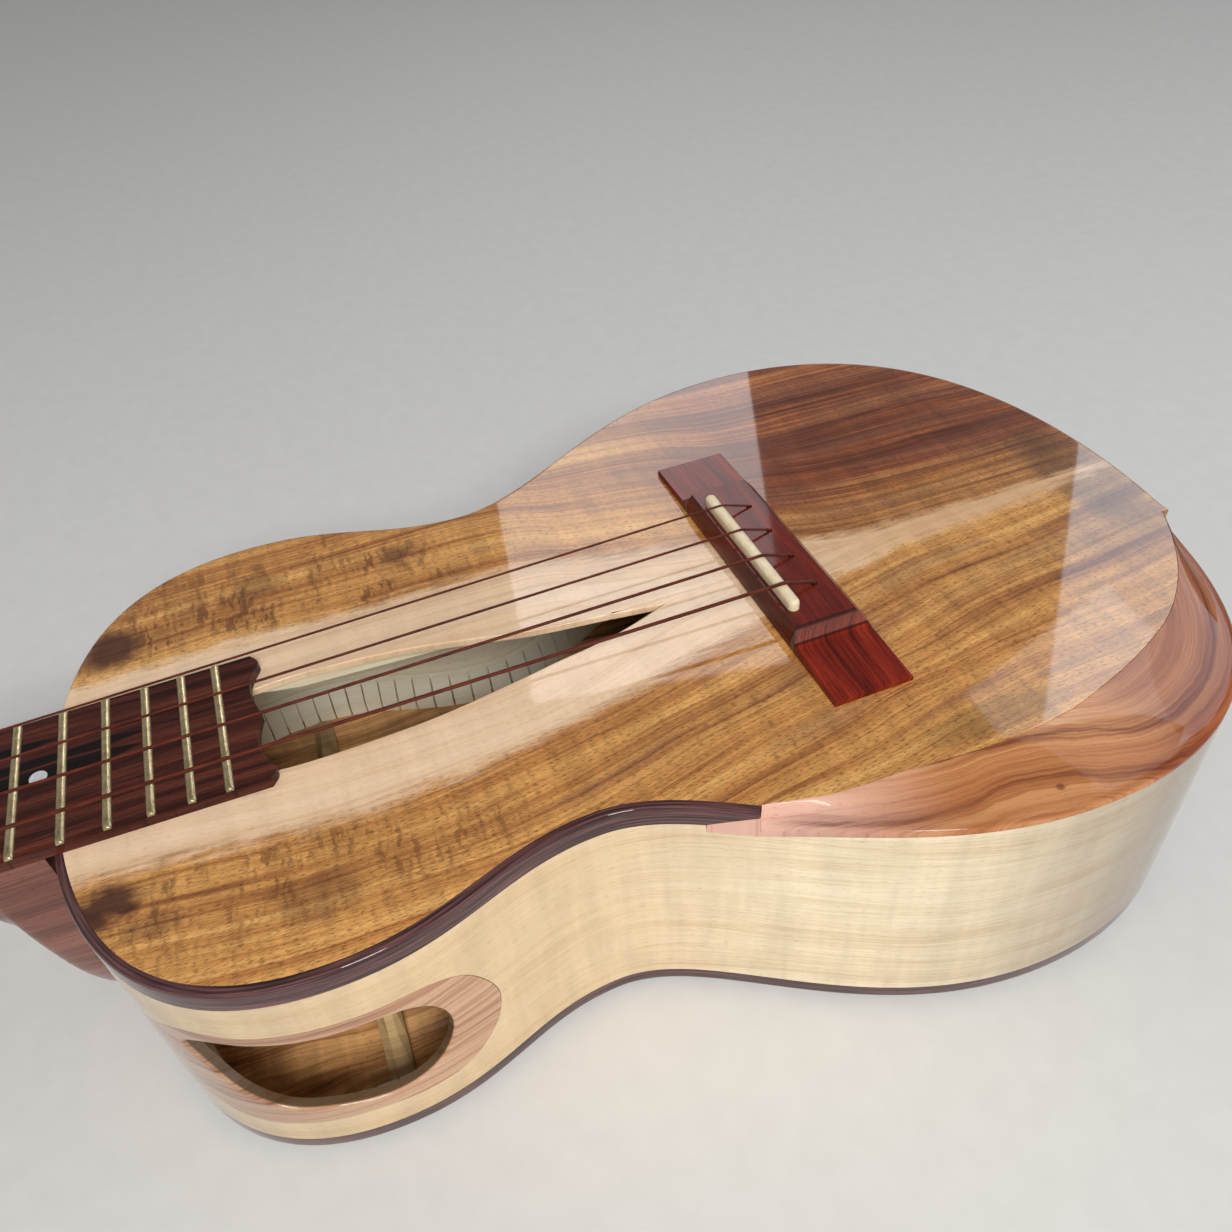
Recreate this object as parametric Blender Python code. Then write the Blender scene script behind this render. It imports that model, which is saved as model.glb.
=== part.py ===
"""Tenor ukulele: hollow body with an arm bevel and a side soundport, neck, and four geared tuners.

Lengths are in metres. Instrument coordinates: the strings cross the saddle at y = 0 and run
towards the nut along +Y, +X is the treble side, and the flat back lies on z = 0.
An empty then carries the whole instrument so that the world origin is the bottom centre of it.
"""
import math

import bmesh
import bpy
from mathutils import Vector

# Driving dimensions of the body
BODY_DEPTH = 0.0750
NECK_JOINT_Y = 0.1858
TAIL_Y = -0.1220
UPPER_BOUT_HALF = 0.0757
UPPER_BOUT_Y = 0.1294
WAIST_HALF = 0.0624
WAIST_Y = 0.0680
LOWER_BOUT_HALF = 0.1018
LOWER_BOUT_Y = -0.0380
SHOULDER_FULLNESS = 0.6605
SHOULDER_DROP = 0.0380
UPPER_REACH = (0.0270, 0.0240)
LOWER_REACH = (0.0270, 0.0520)
TAIL_RISE = 0.0520
TAIL_FULLNESS = 0.6287

TOP_THICK = 0.0020
BACK_THICK = 0.0022
SIDE_THICK = 0.0020
EDGE_ROUND = 0.0012
GLUE = 0.0001
RIM_GAP = 0.0005
SEAM = 0.0001
RIM_STEPS = 42
NECK_RIM_STEPS = 22
ROUND_SIDES = 16

BINDING_WIDTH = 0.0022
TOP_BINDING_TALL = 0.0060
BACK_BINDING_TALL = 0.0046
LINING_THICK = 0.0050
LINING_FOOT = 0.0026
LINING_WEB = 0.0012
LINING_TALL = 0.0120
KERF_PITCH = 0.0104
KERF_WIDTH = 0.0012

BLOCK_WIDTH = 0.0460
NECK_BLOCK_LONG = 0.0300
TAIL_BLOCK_LONG = 0.0160

# Arm bevel on the bass lower bout
BEVEL_SCARF_Y = 0.0455
BEVEL_START_Y = 0.0350
BEVEL_END_X = 0.0270
BEVEL_WIDTHS = ((0.00, 0.0024), (0.08, 0.0076), (0.18, 0.0159), (0.30, 0.0205), (0.42, 0.0228),
                (0.54, 0.0240), (0.66, 0.0216), (0.78, 0.0154), (0.90, 0.0081), (1.00, 0.0020))
BEVEL_DROPS = ((0.00, 0.0086), (0.05, 0.0068), (0.12, 0.0052), (0.22, 0.0042), (0.36, 0.0038),
               (0.50, 0.0039), (0.62, 0.0046), (0.72, 0.0057), (0.85, 0.0072), (1.00, 0.0080))
BEVEL_THICK = 0.0020
BEVEL_STEPS = 18
BEVEL_BLOCK_LIP = 0.0035
BEVEL_BLOCK_TALL = 0.0130

# Sound slot in the top, each edge from the fretboard to the tip
SLOT_TREBLE_EDGE = ((0.0120, 0.1405), (0.0132, 0.1240), (0.0108, 0.0980), (0.0066, 0.0790),
                    (0.0028, 0.0630), (0.0002, 0.0440), (-0.0024, 0.0265))
SLOT_BASS_EDGE = ((-0.0165, 0.1405), (-0.0180, 0.1260), (-0.0172, 0.0980), (-0.0142, 0.0770),
                  (-0.0112, 0.0610), (-0.0082, 0.0440), (-0.0024, 0.0265))

# Soundport in the bass upper bout: its middle along the rim, and its leaf shape around it
PORT_MIDDLE_Y = 0.1420
PORT_MIDDLE_Z = 0.0350
PORT_LEAF = ((0.0252, 0.0045), (0.0215, -0.0045), (0.0160, -0.0103),
             (0.0090, -0.0136), (0.0010, -0.0148), (-0.0120, -0.0166), (-0.0208, -0.0148),
             (-0.0265, -0.0105), (-0.0300, -0.0040), (-0.0306, 0.0020), (-0.0290, 0.0080),
             (-0.0250, 0.0133), (-0.0180, 0.0163), (-0.0030, 0.0170), (0.0130, 0.0180),
             (0.0225, 0.0176), (0.0283, 0.0138))
RING_LEAF = ((0.0500, -0.0010), (0.0455, -0.0115), (0.0330, -0.0180),
             (0.0220, -0.0208), (0.0080, -0.0210), (-0.0080, -0.0210), (-0.0210, -0.0217),
             (-0.0320, -0.0200), (-0.0400, -0.0130), (-0.0432, -0.0030), (-0.0415, 0.0060),
             (-0.0360, 0.0155), (-0.0270, 0.0202), (-0.0100, 0.0210), (0.0100, 0.0216),
             (0.0270, 0.0215), (0.0440, 0.0115))
RING_THICK = 0.0022
RING_GAP = 0.00025
PORT_STEPS = 2
PORT_CUT_SKIM = 0.0004
PORT_CUT_BEYOND = 0.0040

# Braces: width and height of each bar
TOP_BRACE = (0.0060, 0.0080)
SLOT_BRACE = (0.0045, 0.0060)
FAN_BRACE = (0.0050, 0.0070)
BACK_BRACE = (0.0065, 0.0110)
BRACE_TIP = 0.0020
BRACE_CROWN = 0.35
BRACE_END_GAP = 0.0010
SLOT_BRACE_BESIDE = 0.0025
SLOT_BRACE_FEET = (-0.0150, 0.0110)
FAN_HEAD_GAP = 0.0050
FAN_FOOT_GAP = 0.0120
FAN_BRACES = (("fan_brace_bass", -0.022, -0.034), ("fan_brace_centre", 0.0, 0.0),
              ("fan_brace_treble", 0.022, 0.034))
BACK_BRACE_YS = (0.1280, 0.0620, -0.0350)
UPPER_TOP_BRACE_Y = 0.1490
LOWER_TOP_BRACE_Y = 0.0150
BACK_STRIP_WIDTH = 0.0120
BACK_STRIP_THICK = 0.0015

# Neck and fretboard
SCALE_LENGTH = 0.4320
FRET_COUNT = 19
NUT_HALF = 0.0186
JOINT_HALF = 0.0219
FRETBOARD_THICK = 0.0029
FRETBOARD_OVERHANG = 0.01076
FRETBOARD_CUSP = 0.0010
FRETBOARD_HOLLOW = 0.0018
FRET_WIDTH = 0.0024
FRET_TALL = 0.0010
SHAFT_DEPTH = 0.0155
SHAFT_DEPTH_NUT = 0.0145
HEEL_CAP_THICK = 0.0022
HEEL_PROFILE = ((0.0000, 0.0830), (0.0060, 0.0810), (0.0105, 0.0755), (0.0130, 0.0700),
                (0.0146, 0.0600), (0.0154, 0.0500), (0.0164, 0.0415), (0.0182, 0.0356),
                (0.0208, 0.0290), (0.0250, 0.0235), (0.0310, 0.0200), (0.0400, 0.0176),
                (0.0540, 0.0162))
NECK_BOLT_R = 0.0030
NECK_BOLT_HEAD_R = 0.0055
NECK_BOLT_Z = 0.0380
NECK_BOLT_REACH = 0.0090
NUT_LONG = 0.0050
NUT_TALL = 0.0049
NUT_STRING_Z = 0.0045

# Headstock
HEAD_TILT = math.radians(12.0)
HEAD_DROP = 0.0012
HEAD_THICK = 0.0120
HEAD_LONG = 0.1180
VENEER_THICK = 0.0018
HEAD_OUTLINE = ((0.0186, 0.0000), (0.0225, 0.0080), (0.0290, 0.0180), (0.0312, 0.0300),
                (0.0322, 0.0550), (0.0334, 0.0850), (0.0340, 0.1060), (0.0290, 0.1135),
                (0.0160, 0.1165))

# Bridge and saddle
BRIDGE_HALF = 0.0549
BRIDGE_HEAD_Y = 0.0045
BRIDGE_TAIL_Y = -0.0172
BRIDGE_BLOCK_HALF = 0.0325
WING_TALL = 0.0022
WING_END_TALL = 0.0016
BRIDGE_TALL = 0.0066
BRIDGE_CHAMFER = 0.0030
SADDLE_HALF = 0.0265
SADDLE_WIDTH = 0.0032
SADDLE_SEAT = 0.0028
SADDLE_TOP = 0.0095
STRING_HOLE_Y = -0.0094
STRING_HOLE_R = 0.0010
BRIDGE_PLATE = (0.0440, 0.0115, 0.0018)

# Strings from bass to treble: name, radius
STRINGS = (("g", 0.00050), ("c", 0.00043), ("e", 0.00036), ("a", 0.00032))
NUT_SPACING = 0.00887
SADDLE_SPACING = 0.01270
STRING_SIDES = 6
KNOT_R = 0.0019

# Geared tuners
POST_INSET = 0.0180
POST_NEAR_V = 0.0360
POST_FAR_V = 0.0790
POST_R = 0.0030
POST_WAIST_R = 0.0025
POST_ABOVE = 0.0150
SLEEVE_R = 0.0040
SLEEVE_BORE = 0.00310
FERRULE_R = 0.0052
PLATE_THICK = 0.0012
PLATE_HALF_U = 0.0095
PLATE_LOW_V = 0.0090
PLATE_HIGH_V = 0.0160
GEAR_TEETH = 14
GEAR_MODULE = 0.0009
GEAR_THICK = 0.0034
WORM_PITCH_R = 0.0024
WORM_HALF = 0.0050
WORM_PLAY = 0.00015
SHAFT_R = 0.0014
EAR_BORE_R = 0.00150
EAR_THICK = 0.0014
EAR_U = 0.0066
BUTTON_GAP = 0.0030
BUTTON_LONG = 0.0120
BUTTON_HALF = 0.0085
BUTTON_HALF_THICK = 0.0040
WINDING_TURNS = 2
WINDING_STEPS = 24
WINDING_W = 0.0053
WINDING_GAP = 0.00045
WINDING_LEAD = 0.0010
STRING_EYE_W = 0.0104
STRING_EYE_R = 0.0007
STRING_END_GAP = 0.0004

# Places that follow from the sizes above
TOP_Z = BODY_DEPTH
NUT_Y = SCALE_LENGTH
LAST_FRET_Y = SCALE_LENGTH * 2 ** (-FRET_COUNT / 12)
FRETBOARD_END_Y = LAST_FRET_Y - FRETBOARD_OVERHANG
FRETBOARD_CUSP_Y = FRETBOARD_END_Y + FRETBOARD_CUSP
FRETBOARD_Z = TOP_Z + FRETBOARD_THICK
HEAD_Y = NUT_Y + NUT_LONG
HEAD_Z = TOP_Z - HEAD_DROP
GEAR_PITCH_R = GEAR_MODULE * GEAR_TEETH / 2
WORM_LEAD = math.pi * GEAR_MODULE
WORM_OFFSET = GEAR_PITCH_R + WORM_PITCH_R + WORM_PLAY
WORM_OUTER_R = WORM_PITCH_R + 0.75 * GEAR_MODULE
GEAR_MIDDLE_W = -(HEAD_THICK + GLUE + PLATE_THICK + WORM_OUTER_R + 0.0004)
HEAD_TIP_Y = HEAD_Y + HEAD_LONG * math.cos(HEAD_TILT) + VENEER_THICK * math.sin(HEAD_TILT)
MIDDLE_Y = (HEAD_TIP_Y + TAIL_Y) / 2

COLOURS = {
    "koa": (0.42, 0.22, 0.08, 0.35, 0.0),
    "pale_wood": (0.62, 0.47, 0.28, 0.35, 0.0),
    "spruce": (0.68, 0.58, 0.38, 0.6, 0.0),
    "rosewood": (0.10, 0.03, 0.03, 0.3, 0.0),
    "bevel_wood": (0.33, 0.13, 0.06, 0.3, 0.0),
    "mahogany": (0.22, 0.10, 0.08, 0.35, 0.0),
    "bone": (0.80, 0.74, 0.60, 0.4, 0.0),
    "string": (0.09, 0.03, 0.02, 0.4, 0.0),
    "steel": (0.60, 0.58, 0.54, 0.3, 1.0),
    "button": (0.03, 0.03, 0.03, 0.3, 0.0),
}


def clear_scene():
    for item in list(bpy.data.objects):
        bpy.data.objects.remove(item, do_unlink=True)


def material(name):
    found = bpy.data.materials.get(name)
    if found:
        return found
    red, green, blue, rough, metal = COLOURS[name]
    made = bpy.data.materials.new(name)
    made.use_nodes = True
    shader = made.node_tree.nodes["Principled BSDF"]
    shader.inputs["Base Color"].default_value = (red, green, blue, 1.0)
    shader.inputs["Roughness"].default_value = rough
    shader.inputs["Metallic"].default_value = metal
    return made


def make_object(name, verts, faces, wood, parent, smooth=False):
    """A closed mesh object with its faces turned outwards."""
    mesh = bpy.data.meshes.new(name)
    mesh.from_pydata([tuple(v) for v in verts], [], faces)
    work = bmesh.new()
    work.from_mesh(mesh)
    bmesh.ops.remove_doubles(work, verts=work.verts, dist=1e-7)
    bmesh.ops.recalc_face_normals(work, faces=work.faces)
    work.to_mesh(mesh)
    work.free()
    if smooth:
        mesh.shade_smooth()
        mesh.set_sharp_from_angle(angle=math.radians(35))
    item = bpy.data.objects.new(name, mesh)
    bpy.context.collection.objects.link(item)
    if wood:
        mesh.materials.append(material(wood))
    item.parent = parent
    return item


def as_cutter(item):
    item.hide_render = True
    item.display_type = "WIRE"
    return item


def boolean(item, other, operation):
    step = item.modifiers.new(operation.lower(), "BOOLEAN")
    step.operation = operation
    step.solver = "EXACT"
    step.object = as_cutter(other)


def loft(name, rings, wood, parent, smooth=False, split=False):
    """Skin through rings of equal point counts, with flat end caps.

    Split walls all take the same diagonal, so that twisted walls of two neighbours stay parallel.
    """
    count = len(rings[0])
    verts = [point for ring in rings for point in ring]
    faces = [tuple(range(count))]
    for row in range(len(rings) - 1):
        for col in range(count):
            a = row * count + col
            b = row * count + (col + 1) % count
            if split:
                faces.append((a, b, b + count))
                faces.append((a, b + count, a + count))
            else:
                faces.append((a, b, b + count, a + count))
    last = (len(rings) - 1) * count
    faces.append(tuple(range(last + count - 1, last - 1, -1)))
    return make_object(name, verts, faces, wood, parent, smooth)


def prism(name, outline, low, high, wood, parent, smooth=False):
    rings = [[(x, y, z) for x, y in outline] for z in (low, high)]
    return loft(name, rings, wood, parent, smooth)


def box(name, low, high, wood, parent):
    outline = ((low[0], low[1]), (high[0], low[1]), (high[0], high[1]), (low[0], high[1]))
    return prism(name, outline, low[2], high[2], wood, parent)


def ring_points(radius, sides, height, phase=0.0):
    return [(radius * math.cos(phase + 2 * math.pi * k / sides),
             radius * math.sin(phase + 2 * math.pi * k / sides), height) for k in range(sides)]


def turned(name, profile, sides, wood, parent, smooth=True):
    """A solid of revolution about Z through (radius, height) pairs."""
    return loft(name, [ring_points(r, sides, h) for r, h in profile], wood, parent, smooth)


def spline(points, steps, closed=False):
    """Catmull-Rom curve through hand-placed points."""
    count = len(points)
    spans = count if closed else count - 1
    out = []
    for span in range(spans):
        if closed:
            quad = [points[(span + k - 1) % count] for k in range(4)]
        else:
            quad = [points[min(max(span + k - 1, 0), count - 1)] for k in range(4)]
        for step in range(steps):
            t = step / steps
            out.append(tuple(
                0.5 * (2 * b + (c - a) * t + (2 * a - 5 * b + 4 * c - d) * t ** 2
                       + (3 * b - a - 3 * c + d) * t ** 3)
                for a, b, c, d in zip(*quad)))
    if not closed:
        out.append(tuple(points[-1]))
    return out


def bezier(a, b, c, d, steps):
    out = []
    for step in range(steps):
        t = step / steps
        u = 1 - t
        out.append(tuple(u ** 3 * p + 3 * u * u * t * q + 3 * u * t * t * r + t ** 3 * s
                         for p, q, r, s in zip(a, b, c, d)))
    return out


class Rim:
    """Half of the body's outline as a curve measured by arc length from the neck joint."""

    def __init__(self):
        neck = (0.0, NECK_JOINT_Y)
        upper = (UPPER_BOUT_HALF, UPPER_BOUT_Y)
        waist = (WAIST_HALF, WAIST_Y)
        lower = (LOWER_BOUT_HALF, LOWER_BOUT_Y)
        tail = (0.0, TAIL_Y)
        steps = 90
        path = bezier(neck, (SHOULDER_FULLNESS * UPPER_BOUT_HALF, NECK_JOINT_Y),
                      (UPPER_BOUT_HALF, UPPER_BOUT_Y + SHOULDER_DROP), upper, steps)
        path += bezier(upper, (UPPER_BOUT_HALF, UPPER_BOUT_Y - UPPER_REACH[0]),
                       (WAIST_HALF, WAIST_Y + UPPER_REACH[1]), waist, steps)
        path += bezier(waist, (WAIST_HALF, WAIST_Y - LOWER_REACH[0]),
                       (LOWER_BOUT_HALF, LOWER_BOUT_Y + LOWER_REACH[1]), lower, steps)
        path += bezier(lower, (LOWER_BOUT_HALF, LOWER_BOUT_Y - TAIL_RISE),
                       (TAIL_FULLNESS * LOWER_BOUT_HALF, TAIL_Y), tail, steps)
        path.append(tail)
        self.path = [Vector(p) for p in path]
        self.length = [0.0]
        for k in range(1, len(path)):
            self.length.append(self.length[-1] + (self.path[k] - self.path[k - 1]).length)
        self.total = self.length[-1]

    def place(self, s):
        """Point and outward normal at arc length s."""
        s = min(max(s, 0.0), self.total)
        k = 1
        while k < len(self.length) - 1 and self.length[k] < s:
            k += 1
        t = (s - self.length[k - 1]) / (self.length[k] - self.length[k - 1])
        point = self.path[k - 1].lerp(self.path[k], t)
        before = self.path[max(k - 2, 0)]
        after = self.path[min(k + 1, len(self.path) - 1)]
        if s <= 0.0:
            along = Vector((1.0, 0.0))
        elif s >= self.total:
            along = Vector((-1.0, 0.0))
        else:
            along = (after - before).normalized()
        return point, Vector((-along.y, along.x))

    def at(self, s, inset, side):
        point, normal = self.place(s)
        moved = point - normal * inset
        return (side * max(moved.x, 0.0), moved.y)

    def where_y(self, y):
        """Arc length at which the outline passes y."""
        for k in range(1, len(self.path)):
            if self.path[k].y <= y:
                share = (self.path[k - 1].y - y) / (self.path[k - 1].y - self.path[k].y)
                return self.length[k - 1] + (self.length[k] - self.length[k - 1]) * share
        return self.total

    def where_x_near_tail(self, x):
        for k in range(len(self.path) - 1, 0, -1):
            if self.path[k].x >= x:
                share = (self.path[k].x - x) / (self.path[k].x - self.path[k + 1].x)
                return self.length[k] + (self.length[k + 1] - self.length[k]) * share
        return 0.0

    def half_at(self, y, inset):
        """Half width inside an inset at a given y."""
        best = None
        for k, (point, s) in enumerate(zip(self.path, self.length)):
            if k % 3:
                continue
            x, py = self.at(s, inset, 1)
            if best is None or abs(py - y) < best[0]:
                best = (abs(py - y), x)
        return best[1]


RIM = Rim()
SCARF_S = RIM.where_y(BEVEL_SCARF_Y)
BEVEL_S = RIM.where_y(BEVEL_START_Y)
BEVEL_END_S = RIM.where_x_near_tail(BEVEL_END_X)
BASS = -1
TREBLE = 1


def spread(start, end, count):
    return [start + (end - start) * k / count for k in range(count + 1)]


def bevel_share(s):
    return min(max((s - BEVEL_S) / (BEVEL_END_S - BEVEL_S), 0.0), 1.0)


def station_value(table, share):
    """Value of a table of (share, value) stations, eased between neighbours."""
    for k in range(1, len(table)):
        if share <= table[k][0]:
            low, high = table[k - 1], table[k]
            t = (share - low[0]) / (high[0] - low[0])
            before = table[max(k - 2, 0)]
            after = table[min(k + 1, len(table) - 1)]
            rise_low = (high[1] - before[1]) / (high[0] - before[0]) * (high[0] - low[0])
            rise_high = (after[1] - low[1]) / (after[0] - low[0]) * (high[0] - low[0])
            return (low[1] * (1 + 2 * t) * (1 - t) ** 2 + high[1] * t * t * (3 - 2 * t)
                    + rise_low * t * (1 - t) ** 2 - rise_high * t * t * (1 - t))
    return table[-1][1]


def bevel_width(s):
    return station_value(BEVEL_WIDTHS, bevel_share(s))


def bevel_drop(s):
    """How far below the top the bevel's lower edge lies on the side."""
    return station_value(BEVEL_DROPS, bevel_share(s))


def scarf_steps():
    return spread(SCARF_S + 2 * GLUE, BEVEL_S, 4)


def binding_steps():
    return spread(0.0, SCARF_S, NECK_RIM_STEPS) + scarf_steps()[1:-1] + [BEVEL_S - 2 * GLUE]


def bevel_steps():
    """Stations shared by every piece that meets the bevel, so that their faces stay parallel."""
    return spread(BEVEL_S + GLUE, BEVEL_END_S, BEVEL_STEPS)


def keep_off_seam(x, side):
    return side * max(abs(x), SEAM / 2)


def rim_plate(name, side, levels, edge, wood, parent, steps):
    """Half plate from the centre seam to the rim; levels are (height, extra inset)."""
    rings = []
    for z, extra in levels:
        ring = []
        for s in steps:
            x, y = RIM.at(s, edge(s) + extra, side)
            ring.append((keep_off_seam(x, side), y, z))
        ring[0] = (side * SEAM / 2, ring[0][1], z)
        ring[-1] = (side * SEAM / 2, ring[-1][1], z)
        rings.append(ring)
    return loft(name, rings, wood, parent)


def rail(name, side, stations, wood, parent, smooth=False):
    """Strip along the rim; each station is (s, ((inset, z), ...))."""
    rings = []
    for s, section in stations:
        ring = []
        for inset, z in section:
            x, y = RIM.at(s, inset, side)
            ring.append((keep_off_seam(x, side), y, z))
        rings.append(ring)
    return loft(name, rings, wood, parent, smooth, split=True)


def slot_outline():
    treble = spline(SLOT_TREBLE_EDGE, 4)
    bass = spline(SLOT_BASS_EDGE, 4)
    return treble + bass[-2::-1]


def make_soundboards(parent):
    def treble_edge(_):
        return 0.0

    def bass_edge(s):
        if s < BEVEL_S - GLUE:
            return BINDING_WIDTH + GLUE
        if s <= BEVEL_END_S + GLUE:
            return bevel_width(s) + GLUE
        return 0.0

    even = spread(0.0, RIM.total, RIM_STEPS)
    bass_steps = binding_steps() + bevel_steps()
    bass_steps += spread(BEVEL_END_S + 2 * GLUE, RIM.total, 4)
    low = TOP_Z - TOP_THICK
    rounded = ((low, 0.0), (TOP_Z - EDGE_ROUND, 0.0), (TOP_Z - 0.3 * EDGE_ROUND, 0.3 * EDGE_ROUND),
               (TOP_Z, EDGE_ROUND))
    square = ((low, 0.0), (TOP_Z, 0.0))
    for side, name, levels, edge, steps in (
            (TREBLE, "soundboard_treble", rounded, treble_edge, even),
            (BASS, "soundboard_bass", square, bass_edge, bass_steps)):
        board = rim_plate(name, side, levels, edge, "koa", parent, steps)
        hole = prism(name + "_slot_cutter", slot_outline(), low - 0.003, TOP_Z + 0.003, None, parent)
        boolean(board, hole, "DIFFERENCE")
        for x in string_xs(SADDLE_SPACING):
            if x * side > 0:
                boolean(board, string_hole_cutter(name, x, parent), "DIFFERENCE")


def make_backs(parent):
    even = spread(0.0, RIM.total, RIM_STEPS)
    for side, name in ((TREBLE, "back_treble"), (BASS, "back_bass")):
        levels = ((0.0, 0.0), (BACK_THICK, 0.0))
        rim_plate(name, side, levels, lambda s: BINDING_WIDTH + GLUE, "koa", parent, even)


def make_sides(parent):
    low = BACK_BINDING_TALL + GLUE
    high = TOP_Z - TOP_THICK - GLUE
    stations = [(s, ((0.0, low), (0.0, high), (SIDE_THICK, high), (SIDE_THICK, low)))
                for s in spread(0.0, RIM.total, RIM_STEPS)]
    rail("side_treble", TREBLE, stations, "pale_wood", parent)

    under_binding = TOP_Z - TOP_BINDING_TALL - GLUE
    steps = spread(0.0, SCARF_S, NECK_RIM_STEPS) + scarf_steps() + bevel_steps()
    steps += spread(BEVEL_END_S + 2 * GLUE, RIM.total, 4)
    stations = []
    for s in steps:
        if s <= SCARF_S:
            top = under_binding
        elif s <= BEVEL_END_S:
            top = TOP_Z - bevel_drop(s) - GLUE
        else:
            top = high
        stations.append((s, ((0.0, low), (0.0, top), (SIDE_THICK, top), (SIDE_THICK, low))))
    side = rail("side_bass", BASS, stations, "pale_wood", parent)
    boolean(side, port_cutter("ring_recess_cutter", RING_LEAF, RING_GAP, parent), "DIFFERENCE")


def leaf_points(leaf, grow=0.0):
    """Closed leaf outline as (arc length, height) pairs, grown outwards by a small clearance."""
    middle_s = port_middle_s()
    curve = spline(leaf, PORT_STEPS, closed=True)
    out = []
    for along, up in curve:
        reach = math.hypot(along, up)
        scale = (reach + grow) / reach
        out.append((middle_s - along * scale, PORT_MIDDLE_Z + up * scale))
    return out


def port_middle_s():
    return RIM.where_y(PORT_MIDDLE_Y)


def port_ring_loop(points, inset):
    return [(*RIM.at(s, inset, BASS), z) for s, z in points]


def port_cutter(name, leaf, grow, parent):
    """Plug through the side wall; its two ends are strips that follow the wall's curve."""
    points = leaf_points(leaf, grow)
    count = len(points)
    verts = []
    for inset in (-PORT_CUT_BEYOND, -PORT_CUT_SKIM, SIDE_THICK + PORT_CUT_SKIM, SIDE_THICK + PORT_CUT_BEYOND):
        verts += port_ring_loop(points, inset)
    faces = []
    for row in (0, count, 2 * count):
        for k in range(count):
            n = (k + 1) % count
            faces.append((row + k, row + n, row + count + n, row + count + k))
    for base in (0, 3 * count):
        faces.append((base, base + 1, base + count - 1))
        for k in range(1, count // 2 - 1):
            faces.append((base + k, base + k + 1, base + count - k - 1, base + count - k))
        faces.append((base + count // 2 - 1, base + count // 2, base + count // 2 + 1))
    return make_object(name, verts, faces, None, parent)


def make_soundport_ring(parent):
    outer = leaf_points(RING_LEAF)
    inner = leaf_points(PORT_LEAF)
    middle = [((a[0] + b[0]) / 2, (a[1] + b[1]) / 2) for a, b in zip(outer, inner)]
    loops = []
    for points in (outer, middle, inner):
        loops.append(port_ring_loop(points, 0.0))
    for points in (inner, middle, outer):
        loops.append(port_ring_loop(points, RING_THICK))
    count = len(outer)
    verts = [p for loop in loops for p in loop]
    faces = []
    rows = len(loops)
    for row in range(rows):
        for col in range(count):
            a = row * count + col
            b = row * count + (col + 1) % count
            c = ((row + 1) % rows) * count + (col + 1) % count
            d = ((row + 1) % rows) * count + col
            faces.append((a, b, c, d))
    make_object("soundport_ring", verts, faces, "bevel_wood", parent)


def make_bindings(parent):
    section = ((0.0, 0.0), (0.0, BACK_BINDING_TALL), (BINDING_WIDTH, BACK_BINDING_TALL),
               (BINDING_WIDTH, 0.0))
    for side, name in ((TREBLE, "back_binding_treble"), (BASS, "back_binding_bass")):
        stations = [(s, section) for s in spread(0.0, RIM.total, RIM_STEPS)]
        rail(name, side, stations, "rosewood", parent)

    stations = [(s, top_binding_section(scarf_tall(s))) for s in binding_steps()]
    rail("top_binding_bass", BASS, stations, "rosewood", parent)


def scarf_tall(s):
    """Height of the binding where it thins over the start of the bevel."""
    share = min(max((s - SCARF_S) / (BEVEL_S - SCARF_S), 0.0), 1.0)
    return TOP_BINDING_TALL * (1 - 0.7 * share)


def top_binding_section(tall):
    return ((0.0, TOP_Z - tall), (0.0, TOP_Z - EDGE_ROUND), (0.3 * EDGE_ROUND, TOP_Z - 0.3 * EDGE_ROUND),
            (EDGE_ROUND, TOP_Z), (BINDING_WIDTH, TOP_Z), (BINDING_WIDTH, TOP_Z - tall))


def bevel_section(s):
    width = bevel_width(s)
    drop = bevel_drop(s)
    turn = min(0.0035, 0.6 * width)
    brow = 0.42 * drop
    points = []
    for share in (0.0, 0.35, 0.7, 1.0):
        inset = width + (turn - width) * share
        points.append((inset, TOP_Z - brow * share ** 1.6))
    for k in (1, 2, 3):
        angle = math.pi / 2 * k / 3
        points.append((turn * (1 - math.sin(angle)),
                       TOP_Z - brow - 0.62 * (drop - brow) * (1 - math.cos(angle))))
    points.append((0.0, TOP_Z - drop))
    points.append((SIDE_THICK, TOP_Z - drop))
    points.append((width, TOP_Z - BEVEL_THICK))
    return tuple(points)


def scarf_section(s):
    """The bevel's root below the binding, with the same number of points as its full section."""
    high = TOP_Z - scarf_tall(s) - GLUE
    low = TOP_Z - bevel_drop(s)
    outer = [(0.0, high + (low - high) * k / 6) for k in range(7)]
    inner = ((SIDE_THICK, low), (SIDE_THICK, high))
    return ((SIDE_THICK * 0.5, high), *outer, *inner)


def make_arm_bevel(parent):
    root = scarf_steps()
    full = bevel_steps()
    stations = [(s, scarf_section(s)) for s in root] + [(s, bevel_section(s)) for s in full]
    rail("arm_bevel", BASS, stations, "bevel_wood", parent)

    inner = SIDE_THICK + GLUE
    stations = []
    for s in root + full:
        width = bevel_width(s)
        under = TOP_Z - TOP_THICK - GLUE
        drop = bevel_drop(s)
        shelf = min(under, TOP_Z - TOP_BINDING_TALL - GLUE) if s < BEVEL_S else under
        stations.append((s, (
            (width + 0.0004, shelf), (width + BEVEL_BLOCK_LIP, shelf),
            (width + BEVEL_BLOCK_LIP, shelf - 0.004), (inner + 0.002, TOP_Z - drop - BEVEL_BLOCK_TALL),
            (inner, TOP_Z - drop - BEVEL_BLOCK_TALL), (inner, TOP_Z - drop - 0.0008))))
    rail("bevel_block", BASS, stations, "spruce", parent)


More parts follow.
